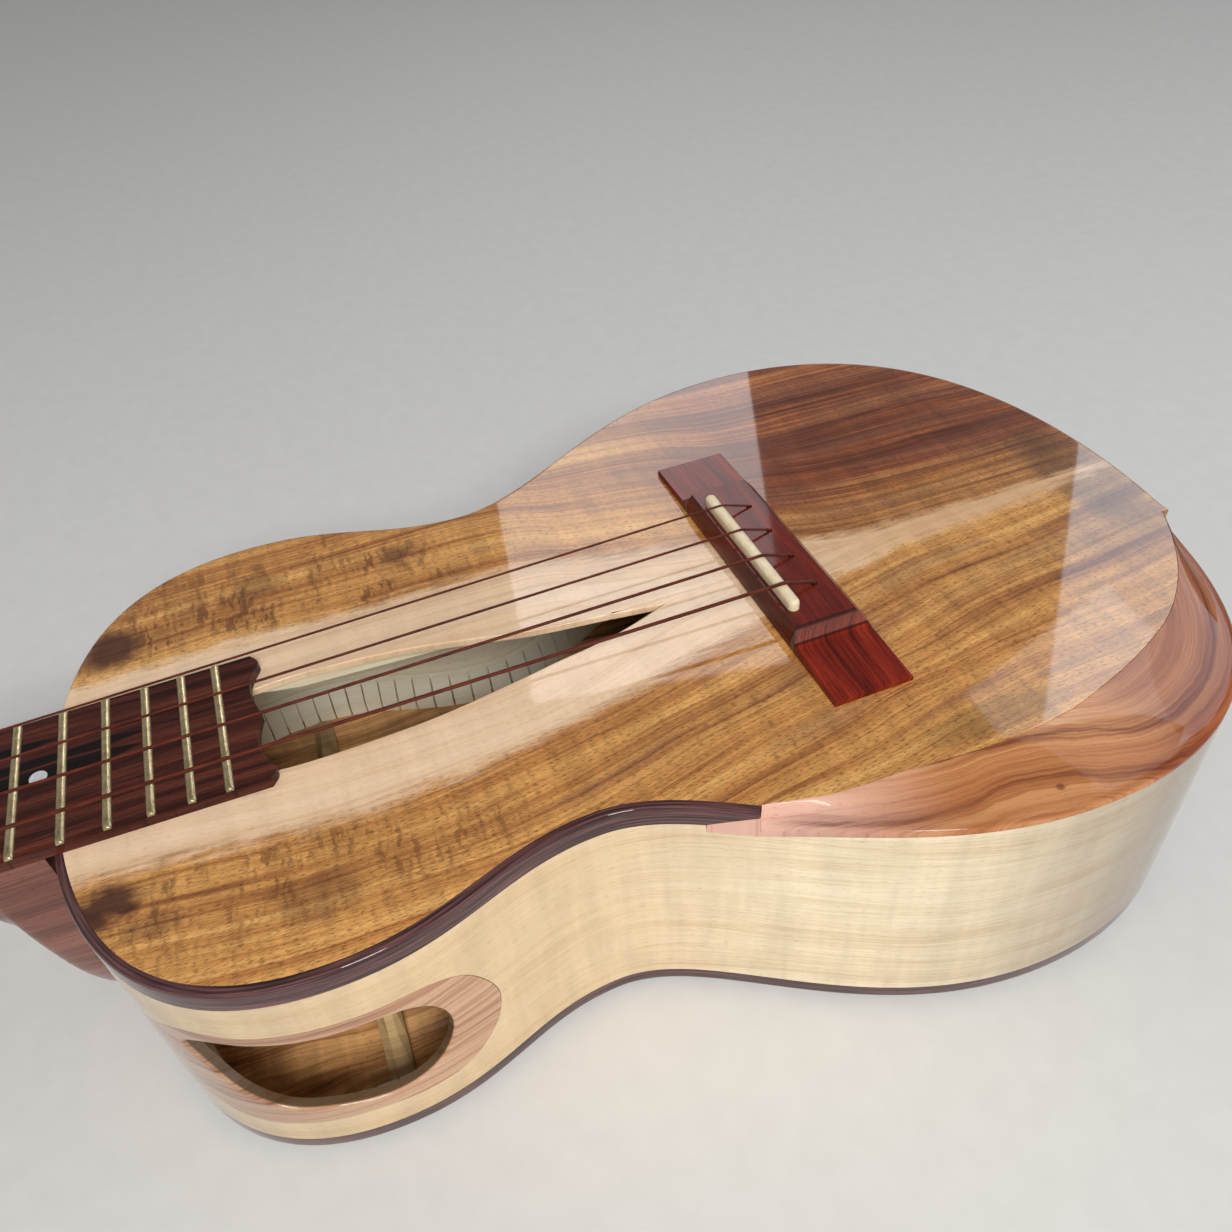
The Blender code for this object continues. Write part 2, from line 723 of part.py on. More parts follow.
def comb_ring(start, end, side, outer, inner, z):
    """Plan outline of a kerfed strip: its outer edge, then back along the toothed inner edge."""
    span = end - start
    teeth = max(int(span / KERF_PITCH), 2)
    pitch = span / teeth
    ring = [(*RIM.at(start + span * k / teeth, outer, side), z) for k in range(teeth + 1)]
    web = outer + LINING_WEB
    for k in range(teeth, 0, -1):
        high = start + pitch * k
        low = start + pitch * (k - 1)
        if k < teeth:
            ring.append((*RIM.at(high - KERF_WIDTH / 2, web, side), z))
            ring.append((*RIM.at(high - KERF_WIDTH / 2, inner, side), z))
        else:
            ring.append((*RIM.at(high, inner, side), z))
        if k > 1:
            ring.append((*RIM.at(low + KERF_WIDTH / 2, inner, side), z))
            ring.append((*RIM.at(low + KERF_WIDTH / 2, web, side), z))
        else:
            ring.append((*RIM.at(low, inner, side), z))
    return ring


def make_linings(parent):
    outer = BINDING_WIDTH + RIM_GAP
    start = BLOCK_WIDTH / 2 + 0.0012
    tail = RIM.total - (BLOCK_WIDTH / 2 + 0.0012)
    full = outer + LINING_THICK
    foot = outer + LINING_FOOT
    top_high = TOP_Z - TOP_THICK - GLUE
    back_low = BACK_THICK + GLUE
    plans = (("lining_top_treble", TREBLE, tail, top_high, top_high - LINING_TALL),
             ("lining_top_bass", BASS, SCARF_S - 0.0005, top_high, top_high - LINING_TALL),
             ("lining_back_treble", TREBLE, tail, back_low, back_low + LINING_TALL),
             ("lining_back_bass", BASS, tail, back_low, back_low + LINING_TALL))
    for name, side, end, wide_z, thin_z in plans:
        wide = comb_ring(start, end, side, outer, full, wide_z)
        thin = comb_ring(start, end, side, outer, foot, thin_z)
        loft(name, [wide, thin], "spruce", parent)


def block_outline(start, end, depth_y):
    """End block's plan: follows the rim across the centre, flat on the inside."""
    inset = BINDING_WIDTH + RIM_GAP
    treble = [RIM.at(s, inset, TREBLE) for s in spread(start, end, 4)]
    treble = [p for p in treble if p[0] > 0.0005]
    treble.sort(key=lambda p: p[0])
    bass = [(-x, y) for x, y in reversed(treble)]
    edge = bass + treble
    return edge + [(edge[-1][0], depth_y), (edge[0][0], depth_y)]


def make_blocks(parent):
    low = BACK_THICK + GLUE
    high = TOP_Z - TOP_THICK - GLUE
    neck = block_outline(0.0, BLOCK_WIDTH / 2, NECK_JOINT_Y - BINDING_WIDTH - NECK_BLOCK_LONG)
    prism("neck_block", neck, low, high, "mahogany", parent)
    tail = block_outline(RIM.total - BLOCK_WIDTH / 2, RIM.total,
                         TAIL_Y + BINDING_WIDTH + TAIL_BLOCK_LONG)
    prism("tail_block", tail, low, high, "mahogany", parent)


def bar(name, start, end, size, root_z, up, wood, parent, notch=None):
    """Brace glued by its flat face at root_z, scooped thin at both ends."""
    width, tall = size
    line = Vector(end) - Vector(start)
    across = Vector((-line.y, line.x)).normalized()
    shares = [0.0, 0.08, 0.16, 0.5, 0.84, 0.92, 1.0]
    if notch:
        reach = notch[0] / line.length
        shares += [0.5 - reach - 0.002, 0.5 - reach, 0.5 + reach, 0.5 + reach + 0.002]
        shares.remove(0.5)
        shares.sort()
    rings = []
    for share in shares:
        away = min(share, 1 - share)
        rise = min(1.0, away / 0.16)
        height = BRACE_TIP + (tall - BRACE_TIP) * rise ** 1.5
        base = 0.0
        if notch and abs(share - 0.5) <= reach + 1e-6:
            base = notch[1]
        centre = Vector(start) + line * share
        ring = []
        for offset, z in ((-1, base), (-1, 0.6 * height), (-BRACE_CROWN, height),
                          (BRACE_CROWN, height),
                          (1, 0.6 * height), (1, base)):
            point = centre + across * (width / 2 * offset)
            ring.append((point.x, point.y, root_z + up * z))
        rings.append(ring)
    return loft(name, rings, wood, parent)


def clear_half(middle, width, side):
    """Half width between the linings over a bar's whole width, or inside the bevel's block."""
    halves = []
    for y in (middle - width / 2, middle, middle + width / 2):
        inset = BINDING_WIDTH + LINING_THICK + 2 * RIM_GAP
        if side == BASS and SCARF_S < RIM.where_y(y) < BEVEL_END_S:
            inset = bevel_width(RIM.where_y(y)) + BEVEL_BLOCK_LIP + 2 * RIM_GAP
        halves.append(RIM.half_at(y, inset))
    return min(halves) - 2 * RIM_GAP


def make_braces(parent):
    under = TOP_Z - TOP_THICK - GLUE
    for name, y in (("top_brace_upper", UPPER_TOP_BRACE_Y), ("top_brace_lower", LOWER_TOP_BRACE_Y)):
        bar(name, (-clear_half(y, TOP_BRACE[0], BASS), y), (clear_half(y, TOP_BRACE[0], TREBLE), y),
            TOP_BRACE, under, -1, "spruce", parent)
    reach = TOP_BRACE[0] / 2 + 2 * GLUE
    head = UPPER_TOP_BRACE_Y - reach - BRACE_END_GAP
    foot = LOWER_TOP_BRACE_Y + reach + BRACE_END_GAP
    beside = SLOT_BRACE[0] / 2 + SLOT_BRACE_BESIDE
    bar("slot_brace_bass", (SLOT_BASS_EDGE[1][0] - beside, head), (SLOT_BRACE_FEET[0], foot), SLOT_BRACE,
        under, -1, "spruce", parent)
    bar("slot_brace_treble", (SLOT_TREBLE_EDGE[1][0] + beside, head), (SLOT_BRACE_FEET[1], foot), SLOT_BRACE,
        under, -1, "spruce", parent)
    fan_head = BRIDGE_TAIL_Y - FAN_HEAD_GAP
    fan_foot = TAIL_Y + TAIL_BLOCK_LONG + FAN_FOOT_GAP
    for name, x_head, x_foot in FAN_BRACES:
        bar(name, (x_head, fan_head), (x_foot, fan_foot), FAN_BRACE, under, -1, "spruce", parent)
    over = BACK_THICK + GLUE
    notch = (BACK_STRIP_WIDTH / 2 + 2 * GLUE, BACK_STRIP_THICK + GLUE)
    for name, y in zip(("back_brace_upper", "back_brace_waist", "back_brace_lower"), BACK_BRACE_YS):
        half = clear_half(y, BACK_BRACE[0], TREBLE)
        bar(name, (-half, y), (half, y), BACK_BRACE, over, 1, "spruce", parent, notch)
    box("back_strip", (-BACK_STRIP_WIDTH / 2, TAIL_Y + BINDING_WIDTH + TAIL_BLOCK_LONG + 0.0003, over),
        (BACK_STRIP_WIDTH / 2, NECK_JOINT_Y - BINDING_WIDTH - NECK_BLOCK_LONG - 0.0003,
         over + BACK_STRIP_THICK), "spruce", parent)
    half_x, half_y, thick = BRIDGE_PLATE
    middle = (BRIDGE_HEAD_Y + BRIDGE_TAIL_Y) / 2
    plate = box("bridge_plate", (-half_x, middle - half_y, under - thick),
                (half_x, middle + half_y, under), "mahogany", parent)
    for x in string_xs(SADDLE_SPACING):
        boolean(plate, string_hole_cutter("bridge_plate", x, parent), "DIFFERENCE")


def fret_y(number):
    return SCALE_LENGTH * 2 ** (-number / 12)


def board_half(y):
    share = (NUT_Y - y) / (NUT_Y - NECK_JOINT_Y)
    return NUT_HALF + (JOINT_HALF - NUT_HALF) * share


def make_fretboard(parent):
    half_end = board_half(FRETBOARD_END_Y)
    quarter = 0.52 * half_end
    arc = spline(((half_end, FRETBOARD_END_Y + 0.0016), (0.86 * half_end, FRETBOARD_END_Y - 0.0002),
                  (0.70 * half_end, FRETBOARD_CUSP_Y + 0.0004),
                  (quarter, FRETBOARD_CUSP_Y + FRETBOARD_HOLLOW),
                  (0.25 * half_end, FRETBOARD_CUSP_Y + 0.8 * FRETBOARD_HOLLOW),
                  (0.0, FRETBOARD_CUSP_Y)), 4)
    mirrored = [(-x, y) for x, y in reversed(arc[:-1])]
    outline = [(-NUT_HALF, NUT_Y), (NUT_HALF, NUT_Y)] + arc + mirrored
    board = prism("fretboard", outline, TOP_Z + GLUE, FRETBOARD_Z, "rosewood", parent)
    verts = []
    faces = []
    for number in range(1, FRET_COUNT + 1):
        y = fret_y(number)
        half = board_half(y) - 0.0004
        section = ((-FRET_WIDTH / 2, -0.0005), (-0.28 * FRET_WIDTH, FRET_TALL),
                   (0.28 * FRET_WIDTH, FRET_TALL), (FRET_WIDTH / 2, -0.0005))
        base = len(verts)
        for end in (-1, 1):
            for dy, dz in section:
                x = end * (half - 0.6 * max(dz, 0.0))
                verts.append((x, y + dy, FRETBOARD_Z + dz))
        count = len(section)
        faces.append(tuple(base + k for k in range(count)))
        faces.append(tuple(base + 2 * count - 1 - k for k in range(count)))
        for k in range(count):
            n = (k + 1) % count
            faces.append((base + k, base + n, base + count + n, base + count + k))
    frets = make_object("fret_wires", verts, faces, None, parent)
    boolean(board, frets, "UNION")


def neck_section(y, half, depth, top, floor):
    """D-shaped section: flat top, elliptical below, cut flat at the floor."""
    limit = math.radians(82)
    if depth > top - floor:
        limit = min(limit, math.asin((top - floor) / depth))
    steps = 5
    right = []
    for k in range(steps + 1):
        angle = limit * k / steps
        right.append((half * math.cos(angle), y, top - depth * math.sin(angle)))
    left = [(-x, yy, z) for x, yy, z in reversed(right)]
    return right + left


def heel_depth(y):
    rise = y - NECK_JOINT_Y
    previous = HEEL_PROFILE[0]
    for point in HEEL_PROFILE[1:]:
        if rise <= point[0]:
            share = (rise - previous[0]) / (point[0] - previous[0])
            return previous[1] + (point[1] - previous[1]) * share
        previous = point
    share = min((rise - previous[0]) / (NUT_Y - NECK_JOINT_Y - previous[0]), 1.0)
    return SHAFT_DEPTH + (SHAFT_DEPTH_NUT - SHAFT_DEPTH) * share


def make_neck(parent):
    start = NECK_JOINT_Y + 2 * GLUE
    floor = HEEL_CAP_THICK + 3 * GLUE
    ys = [start] + [NECK_JOINT_Y + rise for rise, _ in HEEL_PROFILE[1:]]
    ys += [NECK_JOINT_Y + (NUT_Y - NECK_JOINT_Y) * share for share in (0.46, 0.78, 0.97)] + [HEAD_Y]
    rings = [neck_section(y, board_half(y), heel_depth(y), TOP_Z, floor) for y in ys]
    step = TOP_Z - HEAD_Z + 0.0006
    rings.append(neck_section(HEAD_Y + 0.0002, NUT_HALF, SHAFT_DEPTH_NUT - step, HEAD_Z - 0.0006, floor))
    tail_y = HEAD_Y + 0.010
    sunk = HEAD_Z - (tail_y - HEAD_Y) * math.tan(HEAD_TILT) - 0.0006
    rings.append(neck_section(tail_y, 0.92 * NUT_HALF, 0.0108, sunk, floor))
    neck = loft("neck", rings, "mahogany", parent, smooth=True)
    slab = head_prism("headstock_core", -0.0040, 0.0, -HEAD_THICK, 0.0, None, parent)
    boolean(neck, slab, "UNION")
    for u, v in post_places():
        boolean(neck, post_bore("neck", u, v, parent), "DIFFERENCE")

    outline = []
    cap_ys = [start + k * 0.0015 for k in range(8)]
    for y in cap_ys:
        depth = heel_depth(y)
        if depth <= TOP_Z - floor:
            break
        half = board_half(y) * math.sqrt(1 - ((TOP_Z - floor) / depth) ** 2)
        outline.append((half, y))
    outline += [(-x, y) for x, y in reversed(outline)]
    prism("heel_cap", outline, GLUE, floor - GLUE, "rosewood", parent)


def bolt_rings(radius, low_y, high_y, sides=12):
    rings = []
    for y in (low_y, high_y):
        rings.append([(radius * math.cos(2 * math.pi * k / sides), y,
                       NECK_BOLT_Z + radius * math.sin(2 * math.pi * k / sides)) for k in range(sides)])
    return rings


def make_neck_bolt(parent):
    """Bolt through the neck block into the heel, with its head inside the body."""
    face = NECK_JOINT_Y - BINDING_WIDTH - NECK_BLOCK_LONG
    end = NECK_JOINT_Y + NECK_BOLT_REACH
    for owner in ("neck_block", "side_bass", "side_treble", "neck"):
        rings = bolt_rings(NECK_BOLT_R + GLUE, face - 0.004, end + GLUE)
        boolean(bpy.data.objects[owner], loft(f"{owner}_bolt_hole", rings, None, parent), "DIFFERENCE")
    head = bolt_rings(NECK_BOLT_HEAD_R, face - 0.0050, face - GLUE)
    shank = bolt_rings(NECK_BOLT_R, face - GLUE, end)
    loft("neck_bolt", [head[0], head[1], shank[0], shank[1]], "steel", parent, smooth=True)


def head_frame(parent):
    empty = bpy.data.objects.new("headstock_frame", None)
    bpy.context.collection.objects.link(empty)
    empty.parent = parent
    empty.location = (0.0, HEAD_Y, HEAD_Z)
    empty.rotation_euler = (-HEAD_TILT, 0.0, 0.0)
    return empty


def head_outline(start_v):
    side = spline(HEAD_OUTLINE, 2)
    side = [(u, v) for u, v in side if v > start_v + 0.001]
    first = HEAD_OUTLINE[0][0]
    treble = [(first, start_v)] + side + [(0.0, HEAD_LONG)]
    return treble + [(-u, v) for u, v in reversed(treble[:-1])]


def head_prism(name, start_v, grow, low_w, high_w, wood, parent):
    """Slab on the tilted headstock plane, made in the headstock's own frame."""
    frame = bpy.data.objects["headstock_frame"]
    outline = [(u + math.copysign(grow, u), v) for u, v in head_outline(start_v)]
    return prism(name, outline, low_w, high_w, wood, frame)


def post_places():
    return [(-POST_INSET, POST_NEAR_V), (-POST_INSET, POST_FAR_V),
            (POST_INSET, POST_FAR_V), (POST_INSET, POST_NEAR_V)]


def post_bore(owner, u, v, parent):
    frame = bpy.data.objects["headstock_frame"]
    rings = [ring_points(SLEEVE_R + 0.0002, ROUND_SIDES, w) for w in (-HEAD_THICK - 0.004, 0.006)]
    item = loft(f"{owner}_post_bore_{u:.3f}_{v:.3f}", rings, None, frame)
    item.location = (u, v, 0.0)
    return item


def make_headstock_veneer(parent):
    veneer = head_prism("headstock_veneer", 0.0004, 0.0, GLUE, VENEER_THICK, "rosewood", parent)
    for u, v in post_places():
        boolean(veneer, post_bore("veneer", u, v, parent), "DIFFERENCE")


def string_xs(spacing):
    return [spacing * (k - 1.5) for k in range(4)]


def string_hole_cutter(owner, x, parent):
    rings = [ring_points(STRING_HOLE_R, 10, z) for z in (TOP_Z - 0.012, TOP_Z + 0.012)]
    item = loft(f"{owner}_string_hole_{x:.4f}", rings, None, parent)
    item.location = (x, STRING_HOLE_Y, 0.0)
    return item


def make_nut(parent):
    half = NUT_HALF
    low = TOP_Z + GLUE
    high = TOP_Z + NUT_TALL
    section = ((NUT_Y + GLUE, low), (NUT_Y + GLUE, high - 0.0004), (NUT_Y + 0.0009, high),
               (NUT_Y + 0.0030, high - 0.0003), (NUT_Y + NUT_LONG - 2 * GLUE, high - 0.0014),
               (NUT_Y + NUT_LONG - 2 * GLUE, low))
    rings = [[(x, y, z) for y, z in section] for x in (-half, half)]
    nut = loft("nut", rings, "bone", parent)
    for (name, radius), x in zip(STRINGS, string_xs(NUT_SPACING)):
        slot = radius + 0.00015
        centre = TOP_Z + NUT_STRING_Z + radius
        outline = [(slot * math.cos(math.pi + math.pi * k / 6), slot * math.sin(math.pi + math.pi * k / 6))
                   for k in range(7)] + [(slot, 0.004), (-slot, 0.004)]
        rings = [[(x + dx, NUT_Y + dy, centre + dz - 0.2 * dy) for dx, dz in outline]
                 for dy in (-0.002, NUT_LONG + 0.002)]
        boolean(nut, loft(f"nut_slot_{name}", rings, None, parent), "DIFFERENCE")


def bridge_section(x, tall, chamfer_head, chamfer_tail):
    low = TOP_Z + GLUE
    brow = 0.55 * tall
    return [(x, BRIDGE_HEAD_Y, low), (x, BRIDGE_HEAD_Y, TOP_Z + tall - brow * (chamfer_head > 0.0004)),
            (x, BRIDGE_HEAD_Y - chamfer_head, TOP_Z + tall),
            (x, BRIDGE_TAIL_Y + chamfer_tail, TOP_Z + tall),
            (x, BRIDGE_TAIL_Y, TOP_Z + tall - brow * (chamfer_tail > 0.0004)), (x, BRIDGE_TAIL_Y, low)]


def make_bridge(parent):
    plans = [(BRIDGE_HALF, WING_END_TALL, 0.0003, 0.0003), (BRIDGE_BLOCK_HALF + 0.0045, WING_TALL, 0.0003, 0.0003),
             (BRIDGE_BLOCK_HALF + 0.0022, WING_TALL + 0.0006, 0.0003, 0.0003),
             (BRIDGE_BLOCK_HALF + 0.0006, WING_TALL + 0.0020, 0.0006, 0.0010),
             (BRIDGE_BLOCK_HALF - 0.0004, BRIDGE_TALL - 0.0003, 0.5 * BRIDGE_CHAMFER, BRIDGE_CHAMFER),
             (BRIDGE_BLOCK_HALF - 0.0016, BRIDGE_TALL, 0.5 * BRIDGE_CHAMFER, BRIDGE_CHAMFER)]
    rings = [bridge_section(-x, *rest) for x, *rest in plans]
    rings += [bridge_section(x, *rest) for x, *rest in reversed(plans)]
    bridge = loft("bridge", rings, "rosewood", parent)
    slot = saddle_outline(SADDLE_HALF + GLUE, SADDLE_WIDTH / 2 + GLUE)
    floor = TOP_Z + BRIDGE_TALL - SADDLE_SEAT
    boolean(bridge, prism("saddle_slot_cutter", slot, floor, TOP_Z + 0.012, None, parent), "DIFFERENCE")
    for x in string_xs(SADDLE_SPACING):
        boolean(bridge, string_hole_cutter("bridge", x, parent), "DIFFERENCE")

    lean = SADDLE_WIDTH / 2
    floor += GLUE
    levels = ((floor, 0.0), (TOP_Z + SADDLE_TOP - 0.0010, 0.0), (TOP_Z + SADDLE_TOP - 0.0003, 0.0005),
              (TOP_Z + SADDLE_TOP, 0.0010))
    rings = [[(x, y, z) for x, y in saddle_outline(SADDLE_HALF - inset, lean - inset)]
             for z, inset in levels]
    loft("saddle", rings, "bone", parent, smooth=True)


def saddle_outline(half_x, half_y):
    """Bar with rounded ends."""
    out = []
    for end in (1, -1):
        for k in range(7):
            angle = end * math.pi / 2 * (1 - k / 3)
            centre = end * (half_x - half_y)
            out.append((centre + end * half_y * math.cos(angle), half_y * math.sin(angle)))
    return [(x, -y) for x, y in out]


def tube(name, points, radii, sides, wood, parent):
    """Sweep a circle of changing radius along a path without twisting."""
    path = [Vector(p) for p in points]
    tangents = []
    for k in range(len(path)):
        before = path[max(k - 1, 0)]
        after = path[min(k + 1, len(path) - 1)]
        tangents.append((after - before).normalized())
    side = tangents[0].orthogonal().normalized()
    rings = []
    for k, (point, tangent) in enumerate(zip(path, tangents)):
        side = (side - tangent * side.dot(tangent)).normalized()
        up = tangent.cross(side)
        rings.append([point + (side * math.cos(2 * math.pi * j / sides)
                               + up * math.sin(2 * math.pi * j / sides)) * radii[k]
                      for j in range(sides)])
    return loft(name, rings, wood, parent, smooth=True)


def head_to_body(u, v, w):
    """A point of the headstock's frame in instrument coordinates."""
    return Vector((u, HEAD_Y + v * math.cos(HEAD_TILT) + w * math.sin(HEAD_TILT),
                   HEAD_Z - v * math.sin(HEAD_TILT) + w * math.cos(HEAD_TILT)))


def winding_reach(radius):
    return POST_WAIST_R + 2 * GLUE + radius


def make_strings(parent):
    for (name, radius), nut_x, saddle_x, (u, v) in zip(
            STRINGS, string_xs(NUT_SPACING), string_xs(SADDLE_SPACING), post_places()):
        inner = -math.copysign(1, u)
        reach = winding_reach(radius)
        swept = math.hypot(reach, WINDING_LEAD) + 2 * radius + STRING_END_GAP
        back_off = math.sqrt(swept ** 2 - reach ** 2)
        goal = head_to_body(u + inner * reach, v, WINDING_W)
        over_nut = Vector((nut_x, NUT_Y + 0.0009, TOP_Z + NUT_STRING_Z + radius))
        off_nut = Vector((nut_x, NUT_Y + 0.0030, TOP_Z + NUT_STRING_Z + radius - 0.0002))
        run = goal - off_nut
        end = goal - run.normalized() * back_off
        crown = TOP_Z + SADDLE_TOP + radius + GLUE
        mouth = TOP_Z + BRIDGE_TALL + 1.6 * radius
        under = TOP_Z - TOP_THICK - BRIDGE_PLATE[2] - 3 * GLUE
        points = [(saddle_x, STRING_HOLE_Y, under - 2 * KNOT_R - 0.0006),
                  (saddle_x, STRING_HOLE_Y, under - 2 * KNOT_R),
                  (saddle_x, STRING_HOLE_Y, under - 1.6 * KNOT_R),
                  (saddle_x, STRING_HOLE_Y, under - KNOT_R),
                  (saddle_x, STRING_HOLE_Y, under - 0.35 * KNOT_R),
                  (saddle_x, STRING_HOLE_Y, under - 0.05 * KNOT_R),
                  (saddle_x, STRING_HOLE_Y, TOP_Z),
                  (saddle_x, STRING_HOLE_Y, mouth - 0.0004),
                  (saddle_x, STRING_HOLE_Y + 0.0005, mouth + 0.0001),
                  (saddle_x, STRING_HOLE_Y + 0.0020, mouth + 0.0005),
                  (saddle_x, -0.0016, crown - 0.0003), (saddle_x, 0.0, crown),
                  (saddle_x, 0.0018, crown - 0.00005)]
        radii = [radius, 0.7 * KNOT_R, KNOT_R, KNOT_R, 0.7 * KNOT_R] + [radius] * 8
        points += [over_nut, off_nut]
        radii += [radius, radius]
        for share in (0.08, 1.0):
            points.append(off_nut.lerp(end, share))
            radii.append(radius)
        tube(f"string_{name}", points, radii, STRING_SIDES, "string", parent)


def gear_outline():
    """Worm wheel's outline with a gap towards +V."""
    outer = GEAR_PITCH_R + 0.75 * GEAR_MODULE
    root = GEAR_PITCH_R - 1.0 * GEAR_MODULE
    step = 2 * math.pi / GEAR_TEETH
    out = []
    for tooth in range(GEAR_TEETH):
        middle = math.pi / 2 + step * (tooth + 0.5)
        for offset, radius in ((-0.30, root), (-0.13, outer), (0.13, outer), (0.30, root)):
            angle = middle + offset * step
            out.append((radius * math.cos(angle), radius * math.sin(angle)))
    return out


def make_post(name, u, v, frame):
    """Post with its worm wheel, turning about its own axis."""
    gear_low = GEAR_MIDDLE_W - GEAR_THICK / 2
    gear_high = GEAR_MIDDLE_W + GEAR_THICK / 2
    face = VENEER_THICK
    collar = 0.0042
    under_plate = -(HEAD_THICK + GLUE + PLATE_THICK + 0.0004)
    profile = ((0.0022, gear_low - 0.0016), (POST_R, gear_low - 0.0012), (POST_R, gear_high - 0.0004),
               (collar, gear_high - 0.0004), (collar, under_plate), (POST_R, under_plate),
               (POST_R, face + 0.0020), (POST_WAIST_R, face + 0.0028), (POST_WAIST_R, POST_ABOVE - 0.0038),
               (POST_R, POST_ABOVE - 0.0028), (0.93 * POST_R, POST_ABOVE))
    post = turned(f"tuner_post_{name}", profile, ROUND_SIDES, "steel", frame)
    post.location = (u, v, 0.0)
    gear = prism(f"worm_wheel_{name}", gear_outline(), gear_low, gear_high, None, post)
    boolean(post, gear, "UNION")
    rings = [[(x, STRING_EYE_R * math.cos(a), STRING_EYE_W + STRING_EYE_R * math.sin(a))
              for a in (2 * math.pi * k / 8 for k in range(8))] for x in (-0.006, 0.006)]
    boolean(post, loft(f"string_eye_{name}", rings, None, post), "DIFFERENCE")
    return post


def make_worm(name, u, v, frame):
    """Shaft with its worm thread and button, turning about the headstock's U axis."""
    outward = math.copysign(1, u)
    head_half = max(p[0] for p in HEAD_OUTLINE)
    button_start = head_half - abs(u) + BUTTON_GAP
    inner_end = -outward * (EAR_U + EAR_THICK / 2 + 0.0012)
    outer_end = outward * (button_start + 0.004)
    low, high = sorted((inner_end, outer_end))
    rings = [[(x, SHAFT_R * math.cos(a), SHAFT_R * math.sin(a))
              for a in (2 * math.pi * k / 12 for k in range(12))] for x in (low, high)]
    shaft = loft(f"tuner_shaft_{name}", rings, "steel", frame, smooth=True)
    shaft.location = (u, v + WORM_OFFSET, GEAR_MIDDLE_W)
    boolean(shaft, worm_thread(name, shaft), "UNION")
    boolean(shaft, button(name, outward, button_start, shaft), "UNION")
    return shaft


def worm_thread(name, parent):
    """Helical ridge whose crest passes the wheel's gap at -V of the shaft."""
    per_turn = 8
    turns = 2 * WORM_HALF / WORM_LEAD - 0.55
    count = int(per_turn * turns)
    crest = WORM_OUTER_R
    root = SHAFT_R - 0.0002
    rings = []
    for k in range(count + 1):
        share = k / count
        turn = (share - 0.5) * turns
        angle = math.pi + 2 * math.pi * turn
        along = WORM_LEAD * turn
        fade = min(1.0, min(share, 1 - share) * turns * 2.5 + 0.02)
        tip = root + (crest - root) * fade
        ring = []
        for offset, radius in ((-0.27, root), (-0.12, tip), (0.12, tip), (0.27, root)):
            ring.append((along + offset * WORM_LEAD, radius * math.cos(angle), radius * math.sin(angle)))
        rings.append(ring)
    return loft(f"worm_thread_{name}", rings, None, parent)


def button(name, outward, start, parent):
    """Oval finger button, narrow where it meets the shaft."""
    sides = 12
    rings = []
    for share, grow in ((0.0, 0.30), (0.12, 0.45), (0.40, 0.95), (0.80, 0.95), (1.0, 0.55)):
        x = outward * (start + BUTTON_LONG * share)
        rings.append([(x, grow * BUTTON_HALF * math.cos(2 * math.pi * k / sides),
                       max(0.45, grow) * BUTTON_HALF_THICK * math.sin(2 * math.pi * k / sides) * (0.6 + 0.4 * grow))
                      for k in range(sides)])
    return loft(f"button_blank_{name}", rings, None, parent)


def make_plate(name, u, v, frame):
    """Back plate with its two shaft ears and the sleeve that lines the post's bore."""
    top = -(HEAD_THICK + GLUE)
    low = top - PLATE_THICK
    corner = 0.0025
    outline = []
    for cx, cy, first in ((PLATE_HALF_U - corner, PLATE_HIGH_V - corner, 0),
                          (-PLATE_HALF_U + corner, PLATE_HIGH_V - corner, 1),
                          (-PLATE_HALF_U + corner, -PLATE_LOW_V + corner, 2),
                          (PLATE_HALF_U - corner, -PLATE_LOW_V + corner, 3)):
        for k in range(4):
            angle = math.pi / 2 * (first + k / 3)
            outline.append((cx + corner * math.cos(angle), cy + corner * math.sin(angle)))
    plate = prism(f"tuner_plate_{name}", outline, low, top, "steel", frame)
    plate.location = (u, v, 0.0)
    face = VENEER_THICK
    profile = ((SLEEVE_R, low + 0.0002), (SLEEVE_R, face + GLUE), (FERRULE_R, face + GLUE),
               (FERRULE_R, face + 0.0006), (SLEEVE_R, face + 0.0014))
    boolean(plate, turned(f"sleeve_{name}", profile, ROUND_SIDES, None, plate), "UNION")
    ear_low = GEAR_MIDDLE_W - EAR_BORE_R - 0.0012
    for end in (-1, 1):
        x = end * EAR_U
        half = 0.0030
        section = [(WORM_OFFSET - half, low + 0.0003), (WORM_OFFSET - half, GEAR_MIDDLE_W),
                   (WORM_OFFSET - 0.6 * half, ear_low), (WORM_OFFSET + 0.6 * half, ear_low),
                   (WORM_OFFSET + half, GEAR_MIDDLE_W), (WORM_OFFSET + half, low + 0.0003)]
        rings = [[(px, y, z) for y, z in section] for px in (x - EAR_THICK / 2, x + EAR_THICK / 2)]
        boolean(plate, loft(f"ear_{name}_{end}", rings, None, plate), "UNION")
    rings = [[(x, WORM_OFFSET + EAR_BORE_R * math.cos(a), GEAR_MIDDLE_W + EAR_BORE_R * math.sin(a))
              for a in (2 * math.pi * k / 16 for k in range(16))] for x in (-0.012, 0.012)]
    boolean(plate, loft(f"ear_bore_{name}", rings, None, plate), "DIFFERENCE")
    bore = turned(f"sleeve_bore_{name}", ((SLEEVE_BORE, low - 0.002), (SLEEVE_BORE, face + 0.004)),
                  ROUND_SIDES, None, plate)
    boolean(plate, bore, "DIFFERENCE")


